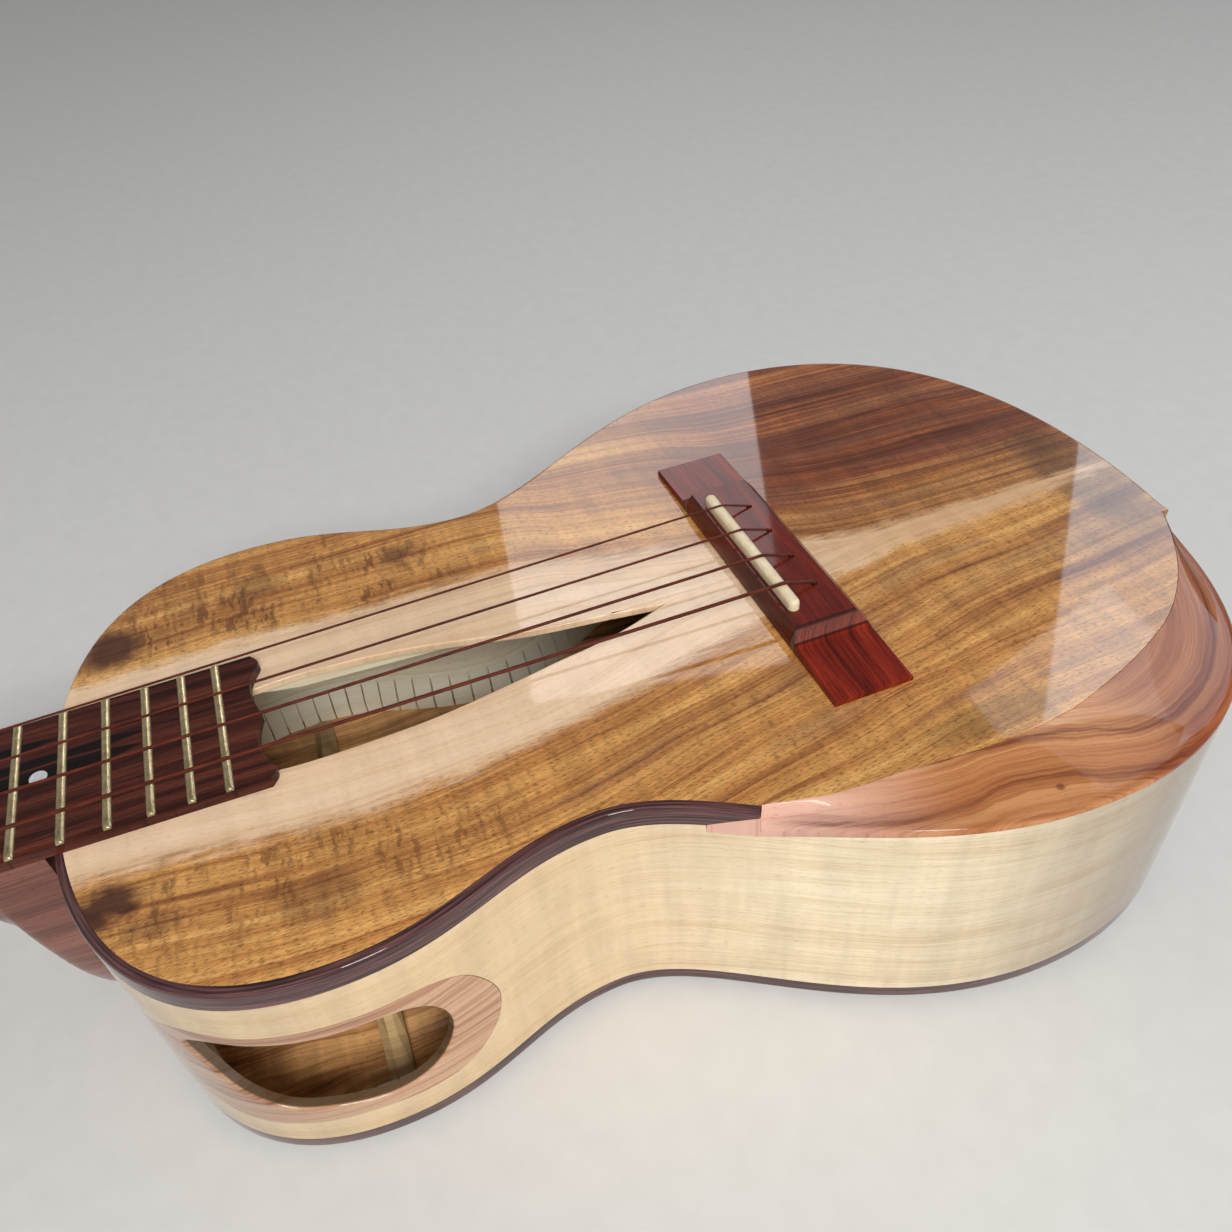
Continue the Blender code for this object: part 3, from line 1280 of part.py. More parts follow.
def make_winding(name, radius, u, v, post):
    """String wound on the post, one unbroken tube starting where the free string arrives."""
    reach = winding_reach(radius)
    first = 0.0 if u < 0 else math.pi
    way = 1 if u < 0 else -1
    climb = 2 * radius + WINDING_GAP
    count = WINDING_TURNS * WINDING_STEPS
    points = []
    for k in range(count + 1):
        turn = k / WINDING_STEPS
        angle = first + way * 2 * math.pi * turn
        points.append(Vector((reach * math.cos(angle), reach * math.sin(angle), WINDING_W + climb * turn)))
    lead = Vector((0.0, -WINDING_LEAD, 0.0))
    points = [points[0] + lead] + points + [points[-1] - lead]
    least = least_gap(points, radius)
    print(f"string_winding_{name}: least gap to itself {least * 1000:.3f} mm")
    tube(f"string_winding_{name}", points, [radius] * len(points), 6, "string", post)


def least_gap(points, radius):
    """Smallest free distance between parts of a wound tube half a turn or more apart."""
    best = None
    for a in range(len(points)):
        for b in range(a + WINDING_STEPS // 2, len(points)):
            apart = (points[a] - points[b]).length
            if best is None or apart < best:
                best = apart
    return best - 2 * radius


def make_tuners(parent):
    frame = bpy.data.objects["headstock_frame"]
    for (name, radius), (u, v) in zip(STRINGS, post_places()):
        make_plate(name, u, v, frame)
        post = make_post(name, u, v, frame)
        make_worm(name, u, v, frame)
        make_winding(name, radius, u, v, post)


def build():
    clear_scene()
    root = bpy.data.objects.new("ukulele", None)
    bpy.context.collection.objects.link(root)
    root.location = (0.0, -MIDDLE_Y, 0.0)
    head_frame(root)
    make_soundboards(root)
    make_backs(root)
    make_sides(root)
    make_soundport_ring(root)
    make_bindings(root)
    make_arm_bevel(root)
    make_linings(root)
    make_blocks(root)
    make_braces(root)
    make_fretboard(root)
    make_neck(root)
    make_neck_bolt(root)
    make_headstock_veneer(root)
    make_nut(root)
    make_bridge(root)
    make_strings(root)
    make_tuners(root)


build()
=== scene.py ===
"""Looks of the tenor ukulele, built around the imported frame.

Lengths are in metres. Instrument coordinates: the strings cross the saddle at y = 0 and run
towards the nut along +Y, +X is the treble side, and the flat back lies on z = 0.
"""
import math
from bisect import bisect_left

import bmesh
import bpy
from mathutils import Matrix, Vector

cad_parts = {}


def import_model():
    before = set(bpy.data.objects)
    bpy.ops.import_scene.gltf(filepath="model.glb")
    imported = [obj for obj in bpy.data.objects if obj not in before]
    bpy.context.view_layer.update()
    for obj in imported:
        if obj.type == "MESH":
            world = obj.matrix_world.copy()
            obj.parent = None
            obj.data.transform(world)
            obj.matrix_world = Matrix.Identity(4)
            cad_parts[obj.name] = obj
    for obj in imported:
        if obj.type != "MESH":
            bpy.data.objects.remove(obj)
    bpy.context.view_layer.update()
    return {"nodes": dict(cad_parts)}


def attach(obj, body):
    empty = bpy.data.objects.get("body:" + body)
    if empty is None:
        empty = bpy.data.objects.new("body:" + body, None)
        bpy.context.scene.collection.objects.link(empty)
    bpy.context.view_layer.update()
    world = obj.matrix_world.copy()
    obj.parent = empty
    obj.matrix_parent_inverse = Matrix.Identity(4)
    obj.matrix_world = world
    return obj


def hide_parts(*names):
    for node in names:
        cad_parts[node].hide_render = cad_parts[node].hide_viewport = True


# Body
BODY_DEPTH = 0.0750
NECK_JOINT_Y = 0.1858
TAIL_Y = -0.1220
UPPER_BOUT_HALF = 0.0757
UPPER_BOUT_Y = 0.1294
WAIST_HALF = 0.0624
WAIST_Y = 0.0680
LOWER_BOUT_HALF = 0.1018
LOWER_BOUT_Y = -0.0380
SHOULDER_FULLNESS = 0.6605
SHOULDER_DROP = 0.0380
UPPER_REACH = (0.0270, 0.0240)
LOWER_REACH = (0.0270, 0.0520)
TAIL_RISE = 0.0520
TAIL_FULLNESS = 0.6287
TOP_THICK = 0.0020
BACK_THICK = 0.0022
SIDE_THICK = 0.0020
EDGE_ROUND = 0.0012
BACK_ROUND = 0.0009
CRISP_ROUND = 0.00008
GLUE = 0.0001
HAIRLINE = 0.00004
RIM_GAP = 0.0005
SEAM = 0.00006
BINDING_WIDTH = 0.0022
TOP_BINDING_TALL = 0.0060
BACK_BINDING_TALL = 0.0046
LINING_THICK = 0.0050
LINING_FOOT = 0.0026
LINING_WEB = 0.0012
LINING_TALL = 0.0120
KERF_PITCH = 0.0060
KERF_WIDTH = 0.0006
BLOCK_WIDTH = 0.0460

# Arm bevel
BEVEL_SCARF_Y = 0.0455
BEVEL_START_Y = 0.0350
BEVEL_END_X = 0.0270
BEVEL_WIDTHS = ((0.00, 0.0024), (0.08, 0.0076), (0.18, 0.0159), (0.30, 0.0205), (0.42, 0.0228),
                (0.54, 0.0240), (0.66, 0.0216), (0.78, 0.0154), (0.90, 0.0081), (1.00, 0.0020))
BEVEL_DROPS = ((0.00, 0.0086), (0.05, 0.0068), (0.12, 0.0052), (0.22, 0.0042), (0.36, 0.0038),
               (0.50, 0.0039), (0.62, 0.0046), (0.72, 0.0057), (0.85, 0.0072), (1.00, 0.0080))
BEVEL_THICK = 0.0020
BEVEL_TURN_WIDTH = 0.0035
BEVEL_BROW = 0.42
BEVEL_FALL = 0.62
SCARF_THINNING = 0.7
BEVEL_FLAT = 12
BEVEL_TURN = 10

# Sound slot and soundport
SLOT_TREBLE_EDGE = ((0.0120, 0.1405), (0.0132, 0.1240), (0.0108, 0.0980), (0.0066, 0.0790),
                    (0.0028, 0.0630), (0.0002, 0.0440), (-0.0024, 0.0265))
SLOT_BASS_EDGE = ((-0.0165, 0.1405), (-0.0180, 0.1260), (-0.0172, 0.0980), (-0.0142, 0.0770),
                  (-0.0112, 0.0610), (-0.0082, 0.0440), (-0.0024, 0.0265))
SLOT_ROUND = 0.0004
PORT_MIDDLE_Y = 0.1420
PORT_MIDDLE_Z = 0.0350
PORT_LEAF = ((0.0252, 0.0045), (0.0215, -0.0045), (0.0160, -0.0103),
             (0.0090, -0.0136), (0.0010, -0.0148), (-0.0120, -0.0166), (-0.0208, -0.0148),
             (-0.0265, -0.0105), (-0.0300, -0.0040), (-0.0306, 0.0020), (-0.0290, 0.0080),
             (-0.0250, 0.0133), (-0.0180, 0.0163), (-0.0030, 0.0170), (0.0130, 0.0180),
             (0.0225, 0.0176), (0.0283, 0.0138))
RING_LEAF = ((0.0500, -0.0010), (0.0455, -0.0115), (0.0330, -0.0180),
             (0.0220, -0.0208), (0.0080, -0.0210), (-0.0080, -0.0210), (-0.0210, -0.0217),
             (-0.0320, -0.0200), (-0.0400, -0.0130), (-0.0432, -0.0030), (-0.0415, 0.0060),
             (-0.0360, 0.0155), (-0.0270, 0.0202), (-0.0100, 0.0210), (0.0100, 0.0216),
             (0.0270, 0.0215), (0.0440, 0.0115))
RING_THICK = 0.0022
RING_ROUND = 0.0011
PORT_PLAY = 0.00016

# Neck and fretboard
SCALE_LENGTH = 0.4320
FRET_COUNT = 19
NUT_HALF = 0.0186
JOINT_HALF = 0.0219
FRETBOARD_THICK = 0.0029
FRETBOARD_OVERHANG = 0.01076
FRETBOARD_CUSP = 0.0010
FRETBOARD_HOLLOW = 0.0018
FRET_WIDTH = 0.0022
FRET_TALL = 0.0010
DOT_R = 0.0021
DOT_OFFSET = 0.0014
SHAFT_DEPTH = 0.0155
SHAFT_DEPTH_NUT = 0.0145
HEEL_CAP_THICK = 0.0022
NECK_SINK = 0.0006
HEEL_PROFILE = ((0.0000, 0.0830), (0.0060, 0.0810), (0.0105, 0.0755), (0.0130, 0.0700),
                (0.0146, 0.0600), (0.0154, 0.0500), (0.0164, 0.0415), (0.0182, 0.0356),
                (0.0208, 0.0290), (0.0250, 0.0235), (0.0310, 0.0200), (0.0400, 0.0176),
                (0.0540, 0.0162))
NUT_LONG = 0.0050
NUT_TALL = 0.0049
NUT_STRING_Z = 0.0045

# Headstock
HEAD_TILT = math.radians(12.0)
HEAD_DROP = 0.0012
HEAD_THICK = 0.0120
HEAD_LONG = 0.1180
VENEER_THICK = 0.0018
HEAD_OUTLINE = ((0.0186, 0.0000), (0.0225, 0.0080), (0.0290, 0.0180), (0.0312, 0.0300),
                (0.0322, 0.0550), (0.0334, 0.0850), (0.0340, 0.1060), (0.0290, 0.1135),
                (0.0160, 0.1165))

# Bridge, saddle and strings
BRIDGE_HALF = 0.0549
BRIDGE_HEAD_Y = 0.0045
BRIDGE_TAIL_Y = -0.0172
BRIDGE_BLOCK_HALF = 0.0325
WING_TALL = 0.0022
WING_END_TALL = 0.0016
BRIDGE_TALL = 0.0066
BRIDGE_CHAMFER = 0.0030
BRIDGE_COVE = 0.0045
BRIDGE_EDGE = 0.0002
SADDLE_HALF = 0.0265
SADDLE_WIDTH = 0.0032
SADDLE_SEAT = 0.0028
SADDLE_TOP = 0.0095
SADDLE_CROWN = 0.0012
STRING_HOLE_Y = -0.0094
STRING_HOLE_R = 0.0010
BRIDGE_PLATE_THICK = 0.0018
STRINGS = (("g", 0.00050), ("c", 0.00043), ("e", 0.00036), ("a", 0.00032))
NUT_SPACING = 0.00887
SADDLE_SPACING = 0.01270
KNOT_R = 0.0019

# Geared tuners
POST_INSET = 0.0180
POST_NEAR_V = 0.0360
POST_FAR_V = 0.0790
POST_R = 0.0030
POST_WAIST_R = 0.0025
POST_ABOVE = 0.0150
SLEEVE_R = 0.0040
SLEEVE_BORE = 0.00310
FERRULE_R = 0.0052
PLATE_THICK = 0.0012
PLATE_HALF_U = 0.0095
PLATE_LOW_V = 0.0090
PLATE_HIGH_V = 0.0160
PLATE_CORNER = 0.0025
COLLAR_R = 0.0042
RUNNING_GAP = 0.0004
GEAR_TEETH = 14
GEAR_MODULE = 0.0009
GEAR_THICK = 0.0034
WORM_PITCH_R = 0.0024
WORM_HALF = 0.0050
WORM_PLAY = 0.00015
SHAFT_R = 0.0014
EAR_BORE_R = 0.00150
EAR_THICK = 0.0014
EAR_U = 0.0066
EAR_HALF = 0.0030
BUTTON_GAP = 0.0030
BUTTON_LONG = 0.0120
BUTTON_HALF = 0.0085
BUTTON_HALF_THICK = 0.0040
WINDING_TURNS = 2
WINDING_W = 0.0053
WINDING_GAP = 0.00045
WINDING_LEAD = 0.0010
STRING_EYE_W = 0.0104
STRING_EYE_R = 0.0007
STRING_END_GAP = 0.0004

# Camera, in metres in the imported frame
CAMERA_PLACE = (-0.19813, -0.11230, 0.26124)

TOP_Z = BODY_DEPTH
NUT_Y = SCALE_LENGTH
FRETBOARD_END_Y = SCALE_LENGTH * 2 ** (-FRET_COUNT / 12) - FRETBOARD_OVERHANG
FRETBOARD_CUSP_Y = FRETBOARD_END_Y + FRETBOARD_CUSP
FRETBOARD_Z = TOP_Z + FRETBOARD_THICK
HEAD_Y = NUT_Y + NUT_LONG
HEAD_Z = TOP_Z - HEAD_DROP
GEAR_PITCH_R = GEAR_MODULE * GEAR_TEETH / 2
WORM_LEAD = math.pi * GEAR_MODULE
WORM_OFFSET = GEAR_PITCH_R + WORM_PITCH_R + WORM_PLAY
WORM_OUTER_R = WORM_PITCH_R + 0.75 * GEAR_MODULE
GEAR_MIDDLE_W = -(HEAD_THICK + GLUE + PLATE_THICK + WORM_OUTER_R + RUNNING_GAP)
HEAD_TIP_Y = HEAD_Y + HEAD_LONG * math.cos(HEAD_TILT) + VENEER_THICK * math.sin(HEAD_TILT)
MIDDLE_Y = (HEAD_TIP_Y + TAIL_Y) / 2
BASS = -1
TREBLE = 1


def bezier(a, b, c, d, steps):
    out = []
    for step in range(steps):
        t = step / steps
        u = 1 - t
        out.append(tuple(u ** 3 * p + 3 * u * u * t * q + 3 * u * t * t * r + t ** 3 * s
                         for p, q, r, s in zip(a, b, c, d)))
    return out


def spline(points, steps, closed=False):
    """Catmull-Rom curve through given points."""
    count = len(points)
    spans = count if closed else count - 1
    out = []
    for span in range(spans):
        if closed:
            quad = [points[(span + k - 1) % count] for k in range(4)]
        else:
            quad = [points[min(max(span + k - 1, 0), count - 1)] for k in range(4)]
        for step in range(steps):
            t = step / steps
            out.append(tuple(
                0.5 * (2 * b + (c - a) * t + (2 * a - 5 * b + 4 * c - d) * t ** 2
                       + (3 * b - a - 3 * c + d) * t ** 3)
                for a, b, c, d in zip(*quad)))
    if not closed:
        out.append(tuple(points[-1]))
    return out


def spread(start, end, count):
    return [start + (end - start) * k / count for k in range(count + 1)]


class Rim:
    """Half of the body's outline as a curve measured by arc length from the neck joint."""

    def __init__(self):
        neck = (0.0, NECK_JOINT_Y)
        upper = (UPPER_BOUT_HALF, UPPER_BOUT_Y)
        waist = (WAIST_HALF, WAIST_Y)
        lower = (LOWER_BOUT_HALF, LOWER_BOUT_Y)
        tail = (0.0, TAIL_Y)
        spans = ((neck, (SHOULDER_FULLNESS * UPPER_BOUT_HALF, NECK_JOINT_Y),
                  (UPPER_BOUT_HALF, UPPER_BOUT_Y + SHOULDER_DROP), upper),
                 (upper, (UPPER_BOUT_HALF, UPPER_BOUT_Y - UPPER_REACH[0]),
                  (WAIST_HALF, WAIST_Y + UPPER_REACH[1]), waist),
                 (waist, (WAIST_HALF, WAIST_Y - LOWER_REACH[0]),
                  (LOWER_BOUT_HALF, LOWER_BOUT_Y + LOWER_REACH[1]), lower),
                 (lower, (LOWER_BOUT_HALF, LOWER_BOUT_Y - TAIL_RISE),
                  (TAIL_FULLNESS * LOWER_BOUT_HALF, TAIL_Y), tail))
        path = [point for span in spans for point in bezier(*span, 240)] + [tail]
        self.path = [Vector(p) for p in path]
        self.length = [0.0]
        for k in range(1, len(path)):
            self.length.append(self.length[-1] + (self.path[k] - self.path[k - 1]).length)
        self.total = self.length[-1]
        self.normal = [Vector((0.0, 1.0))]
        for k in range(1, len(path) - 1):
            along = (self.path[k + 1] - self.path[k - 1]).normalized()
            self.normal.append(Vector((-along.y, along.x)))
        self.normal.append(Vector((0.0, -1.0)))

    def at(self, s, inset, side):
        s = min(max(s, 0.0), self.total)
        k = max(bisect_left(self.length, s), 1)
        t = (s - self.length[k - 1]) / (self.length[k] - self.length[k - 1])
        point = self.path[k - 1].lerp(self.path[k], t)
        normal = self.normal[k - 1].lerp(self.normal[k], t).normalized()
        moved = point - normal * inset
        return (side * max(moved.x, 0.0), moved.y)

    def place(self, x, y):
        """Arc length and inset of a point beside the outline."""
        spot = Vector((x, y))
        k = min(range(1, len(self.path) - 1), key=lambda n: (self.path[n] - spot).length_squared)
        along = (self.path[k + 1] - self.path[k - 1]).normalized()
        away = spot - self.path[k]
        return self.length[k] + away.dot(along), -away.dot(self.normal[k])

    def where_y(self, y):
        """Arc length at which the outline passes y."""
        for k in range(1, len(self.path)):
            if self.path[k].y <= y:
                share = (self.path[k - 1].y - y) / (self.path[k - 1].y - self.path[k].y)
                return self.length[k - 1] + (self.length[k] - self.length[k - 1]) * share
        return self.total

    def where_x_near_tail(self, x):
        for k in range(len(self.path) - 1, 0, -1):
            if self.path[k].x >= x:
                return self.length[k]
        return 0.0


RIM = Rim()
RIM_STEPS = 320
SCARF_S = RIM.where_y(BEVEL_SCARF_Y)
BEVEL_S = RIM.where_y(BEVEL_START_Y)
BEVEL_END_S = RIM.where_x_near_tail(BEVEL_END_X)
PORT_MIDDLE_S = RIM.where_y(PORT_MIDDLE_Y)


def bevel_share(s):
    return min(max((s - BEVEL_S) / (BEVEL_END_S - BEVEL_S), 0.0), 1.0)


def station_value(table, share):
    """Value of a table of (share, value) stations, eased between neighbours."""
    for k in range(1, len(table)):
        if share <= table[k][0]:
            low, high = table[k - 1], table[k]
            before = table[max(k - 2, 0)]
            after = table[min(k + 1, len(table) - 1)]
            step = high[0] - low[0]
            t = (share - low[0]) / step
            rise_low = (high[1] - before[1]) / (high[0] - before[0]) * step
            rise_high = (after[1] - low[1]) / (after[0] - low[0]) * step
            return (low[1] * (1 + 2 * t) * (1 - t) ** 2 + high[1] * t * t * (3 - 2 * t)
                    + rise_low * t * (1 - t) ** 2 - rise_high * t * t * (1 - t))
    return table[-1][1]


def bevel_width(s):
    return station_value(BEVEL_WIDTHS, bevel_share(s))


def bevel_drop(s):
    return station_value(BEVEL_DROPS, bevel_share(s))


def scarf_steps():
    return spread(SCARF_S + 2 * GLUE, BEVEL_S, 12)


def binding_steps():
    return spread(0.0, SCARF_S, 150) + scarf_steps()[1:-1] + [BEVEL_S - 2 * GLUE]


def bevel_steps():
    return spread(BEVEL_S + GLUE, BEVEL_END_S, 150)


def tail_steps():
    """The bass rim from the bevel's end to the tail seam."""
    return spread(BEVEL_END_S + 2 * GLUE, RIM.total, 20)


# Procedural materials


def tone(red, green, blue):
    """A colour written as the 0 to 255 values that a screen shows."""
    out = []
    for level in (red, green, blue):
        share = level / 255
        out.append(share / 12.92 if share <= 0.04045 else ((share + 0.055) / 1.055) ** 2.4)
    return (*out, 1.0)


class Value:
    """Output of a node; arithmetic with it adds nodes to its net."""

    def __init__(self, net, socket):
        self.net = net
        self.socket = socket

    def __add__(self, other):
        return self.net.math("ADD", self, other)

    def __sub__(self, other):
        return self.net.math("SUBTRACT", self, other)

    def __rsub__(self, other):
        return self.net.math("SUBTRACT", other, self)

    def __mul__(self, other):
        return self.net.math("MULTIPLY", self, other)

    def __abs__(self):
        return self.net.math("ABSOLUTE", self)

    __radd__ = __add__
    __rmul__ = __mul__

    def fade(self, low, high, to_low=0.0, to_high=1.0):
        """Smooth step from one range to another."""
        return self.net.node("ShaderNodeMapRange", dict(enumerate((self, low, high, to_low, to_high))),
                             interpolation_type="SMOOTHSTEP")

    def between(self, low, high, soft):
        """One inside a range, falling to nothing over a soft edge."""
        return self.fade(low - soft, low) * self.fade(high, high + soft, 1.0, 0.0)


class Net:
    """A node material with short calls for what the woods share."""

    def __init__(self, name, rough, coat=0.0, coat_rough=0.03, metal=0.0):
        self.material = bpy.data.materials.new(name)
        self.material.use_nodes = True
        self.tree = self.material.node_tree
        self.inputs = self.tree.nodes["Principled BSDF"].inputs
        for key, value in (("Roughness", rough), ("Coat Weight", coat), ("Coat Roughness", coat_rough),
                           ("Metallic", metal), ("Specular IOR Level", 0.04 if coat > 0.2 else 0.5)):
            self.inputs[key].default_value = value

    def plug(self, socket, value):
        """Link a node's output to a socket, or set a number or a screen colour."""
        if isinstance(value, Value):
            self.tree.links.new(value.socket, socket)
        else:
            socket.default_value = tone(*value) if isinstance(value, tuple) else value

    def node(self, kind, inputs, out=0, **settings):
        made = self.tree.nodes.new(kind)
        for key, value in settings.items():
            setattr(made, key, value)
        for key, value in inputs.items():
            self.plug(made.inputs[key], value)
        return Value(self, made.outputs[out])

    def math(self, operation, *values, clamp=False):
        return self.node("ShaderNodeMath", dict(enumerate(values)), operation=operation, use_clamp=clamp)

    def noise(self, x, y, z, detail=2.0, rough=0.5, warp=0.0):
        vector = self.node("ShaderNodeCombineXYZ", {0: x, 1: y, 2: z})
        return self.node("ShaderNodeTexNoise", {"Vector": vector, "Scale": 1.0, "Detail": detail,
                                                "Roughness": rough, "Distortion": warp},
                         noise_dimensions="3D")

    def drawn(self, across, along, wide, long, seed=0.0, detail=2.0, rough=0.5):
        """Noise stretched along the grain; wide and long are the size of its features."""
        return self.noise(across * (1 / wide), along * (1 / long), seed, detail, rough)

    def sway(self, across, along, wide, long, seed, detail, reach):
        """Drawn noise about zero, as a shift in millimetres."""
        return (self.drawn(across, along, wide, long, seed, detail) - 0.5) * reach

    def grain(self, lane, along, wide, fine, share):
        """Two layers of drawn noise, and their sum in which the first has the given share."""
        wide = self.drawn(lane, along, *wide)
        fine = self.drawn(lane, along, *fine)
        return wide, fine, wide * share + fine * (1 - share)

    def mix(self, share, a, b):
        return self.node("ShaderNodeMix", {0: share, 6: a, 7: b}, 2, data_type="RGBA", blend_type="MIX")

    def mix_value(self, share, a, b):
        return self.node("ShaderNodeMix", {0: share, 2: a, 3: b}, data_type="FLOAT")

    def ramp(self, share, *stops):
        """Colours at places along a share, each stop written (place, red, green, blue)."""
        made = self.tree.nodes.new("ShaderNodeValToRGB")
        self.plug(made.inputs[0], share)
        items = made.color_ramp.elements
        while len(items) < len(stops):
            items.new(0.5)
        for item, (place, *colour) in zip(items, stops):
            item.position = place
            item.color = tone(*colour)
        return Value(self, made.outputs[0])

    def curve(self, value, points, low_out, high_out):
        """Free curve through (input, output) points, with the range of the outputs."""
        low, high = points[0][0], points[-1][0]
        span = high_out - low_out
        made = self.tree.nodes.new("ShaderNodeFloatCurve")
        self.plug(made.inputs["Value"], self.math("DIVIDE", value - low, high - low, clamp=True))
        line = made.mapping.curves[0].points
        placed = [((a - low) / (high - low), (b - low_out) / span) for a, b in points]
        line[0].location = placed[0]
        line[1].location = placed[-1]
        for place in placed[1:-1]:
            line.new(*place)
        made.mapping.update()
        return Value(self, made.outputs[0]) * span + low_out

    def shade(self, colour, amount):
        """Colour times a brightness number."""
        return self.node("ShaderNodeVectorMath", {0: colour, "Scale": amount}, operation="SCALE")

    def spot(self, x, y, centre, size, soft=0.45):
        """Soft elliptical patch."""
        dx = (x - centre[0]) * (1 / size[0])
        dy = (y - centre[1]) * (1 / size[1])
        return self.math("SQRT", dx * dx + dy * dy).fade(1.0 - soft, 1.0 + soft, 1.0, 0.0)

    def parts(self, vector):
        made = self.tree.nodes.new("ShaderNodeSeparateXYZ")
        self.plug(made.inputs[0], vector)
        return [Value(self, socket) for socket in made.outputs]

    def axes(self):
        """Instrument coordinates in millimetres."""
        x, y, z = self.parts(self.node("ShaderNodeTexCoord", {}, "Object"))
        return x * 1000.0, (y + MIDDLE_Y) * 1000.0, z * 1000.0

    def run(self):
        """Place on a bent strip in millimetres: along the rim, into the wall, and up."""
        source = self.node("ShaderNodeAttribute", {}, "Vector", attribute_name="run")
        return [part * 1000.0 for part in self.parts(source)]

    def bump(self, height, strength):
        bumped = self.node("ShaderNodeBump", {"Height": height, "Strength": strength, "Distance": 0.0001})
        self.plug(self.inputs["Normal"], bumped)

    def pores(self, colour, across, along, size, seed, depth, tint, bump, edges=(0.60, 0.72)):
        """Short dark dashes along the grain, sunk a little."""
        mask = self.drawn(across, along, *size, seed, 1.0).fade(*edges)
        self.bump(1.0 - mask, bump)
        return self.mix(mask * depth, colour, tint)

    def done(self, colour):
        self.plug(self.inputs["Base Color"], colour)
        return self.material


# Half width of the pale band about the seam, in millimetres, against y
SAP_BASS = ((-122.0, 2.0), (-110.0, 3.0), (-86.0, 5.5), (-50.0, 7.5), (-30.0, 11.0), (-10.0, 15.0),
            (0.0, 18.0), (20.0, 22.0), (40.0, 27.5), (57.0, 33.0), (85.0, 38.0), (120.0, 37.5),
            (150.0, 33.5), (166.0, 31.0), (186.0, 29.0))
SAP_TREBLE = ((-122.0, 0.5), (-86.0, 0.6), (-60.0, 1.2), (-40.0, 2.6), (-21.0, 6.5), (0.0, 16.0),
              (20.0, 21.0), (40.0, 25.5), (60.0, 32.5), (100.0, 33.0), (186.0, 32.0))

# Long dark streaks of each half: lane, half width, reach along the grain, softness, depth
STREAKS_BASS = ((26.0, 3.6, -92.0, -44.0, 14.0, 0.74), (17.0, 2.2, -70.0, 50.0, 22.0, 0.40),
                (34.0, 2.6, -100.0, -34.0, 16.0, 0.42), (22.0, 4.0, 10.0, 46.0, 16.0, 0.40))
STREAKS_TREBLE = ((5.0, 4.0, -112.0, -22.0, 8.0, 0.62), (13.0, 1.6, -112.0, -30.0, 12.0, 0.50),
                  (22.0, 3.8, -110.0, -24.0, 14.0, 0.74), (33.0, 2.4, -104.0, -4.0, 20.0, 0.62),
                  (43.0, 1.6, -100.0, 0.0, 20.0, 0.50), (54.0, 6.0, -92.0, -24.0, 18.0, 0.55),
                  (72.0, 7.0, -90.0, -14.0, 18.0, 0.60))

# Mineral spots: place, size, depth
SPOTS = (((-40.5, 173.0), (5.0, 7.5), 0.92), ((-44.5, 178.5), (4.5, 5.0), 0.62),
         ((-50.0, 165.0), (3.0, 7.0), 0.40), ((45.0, 171.0), (8.0, 8.0), 0.90),
         ((52.0, 90.0), (4.0, 4.0), 0.60), ((55.0, 130.0), (5.0, 6.0), 0.45),
         ((-57.0, 130.0), (6.0, 8.0), 0.40))


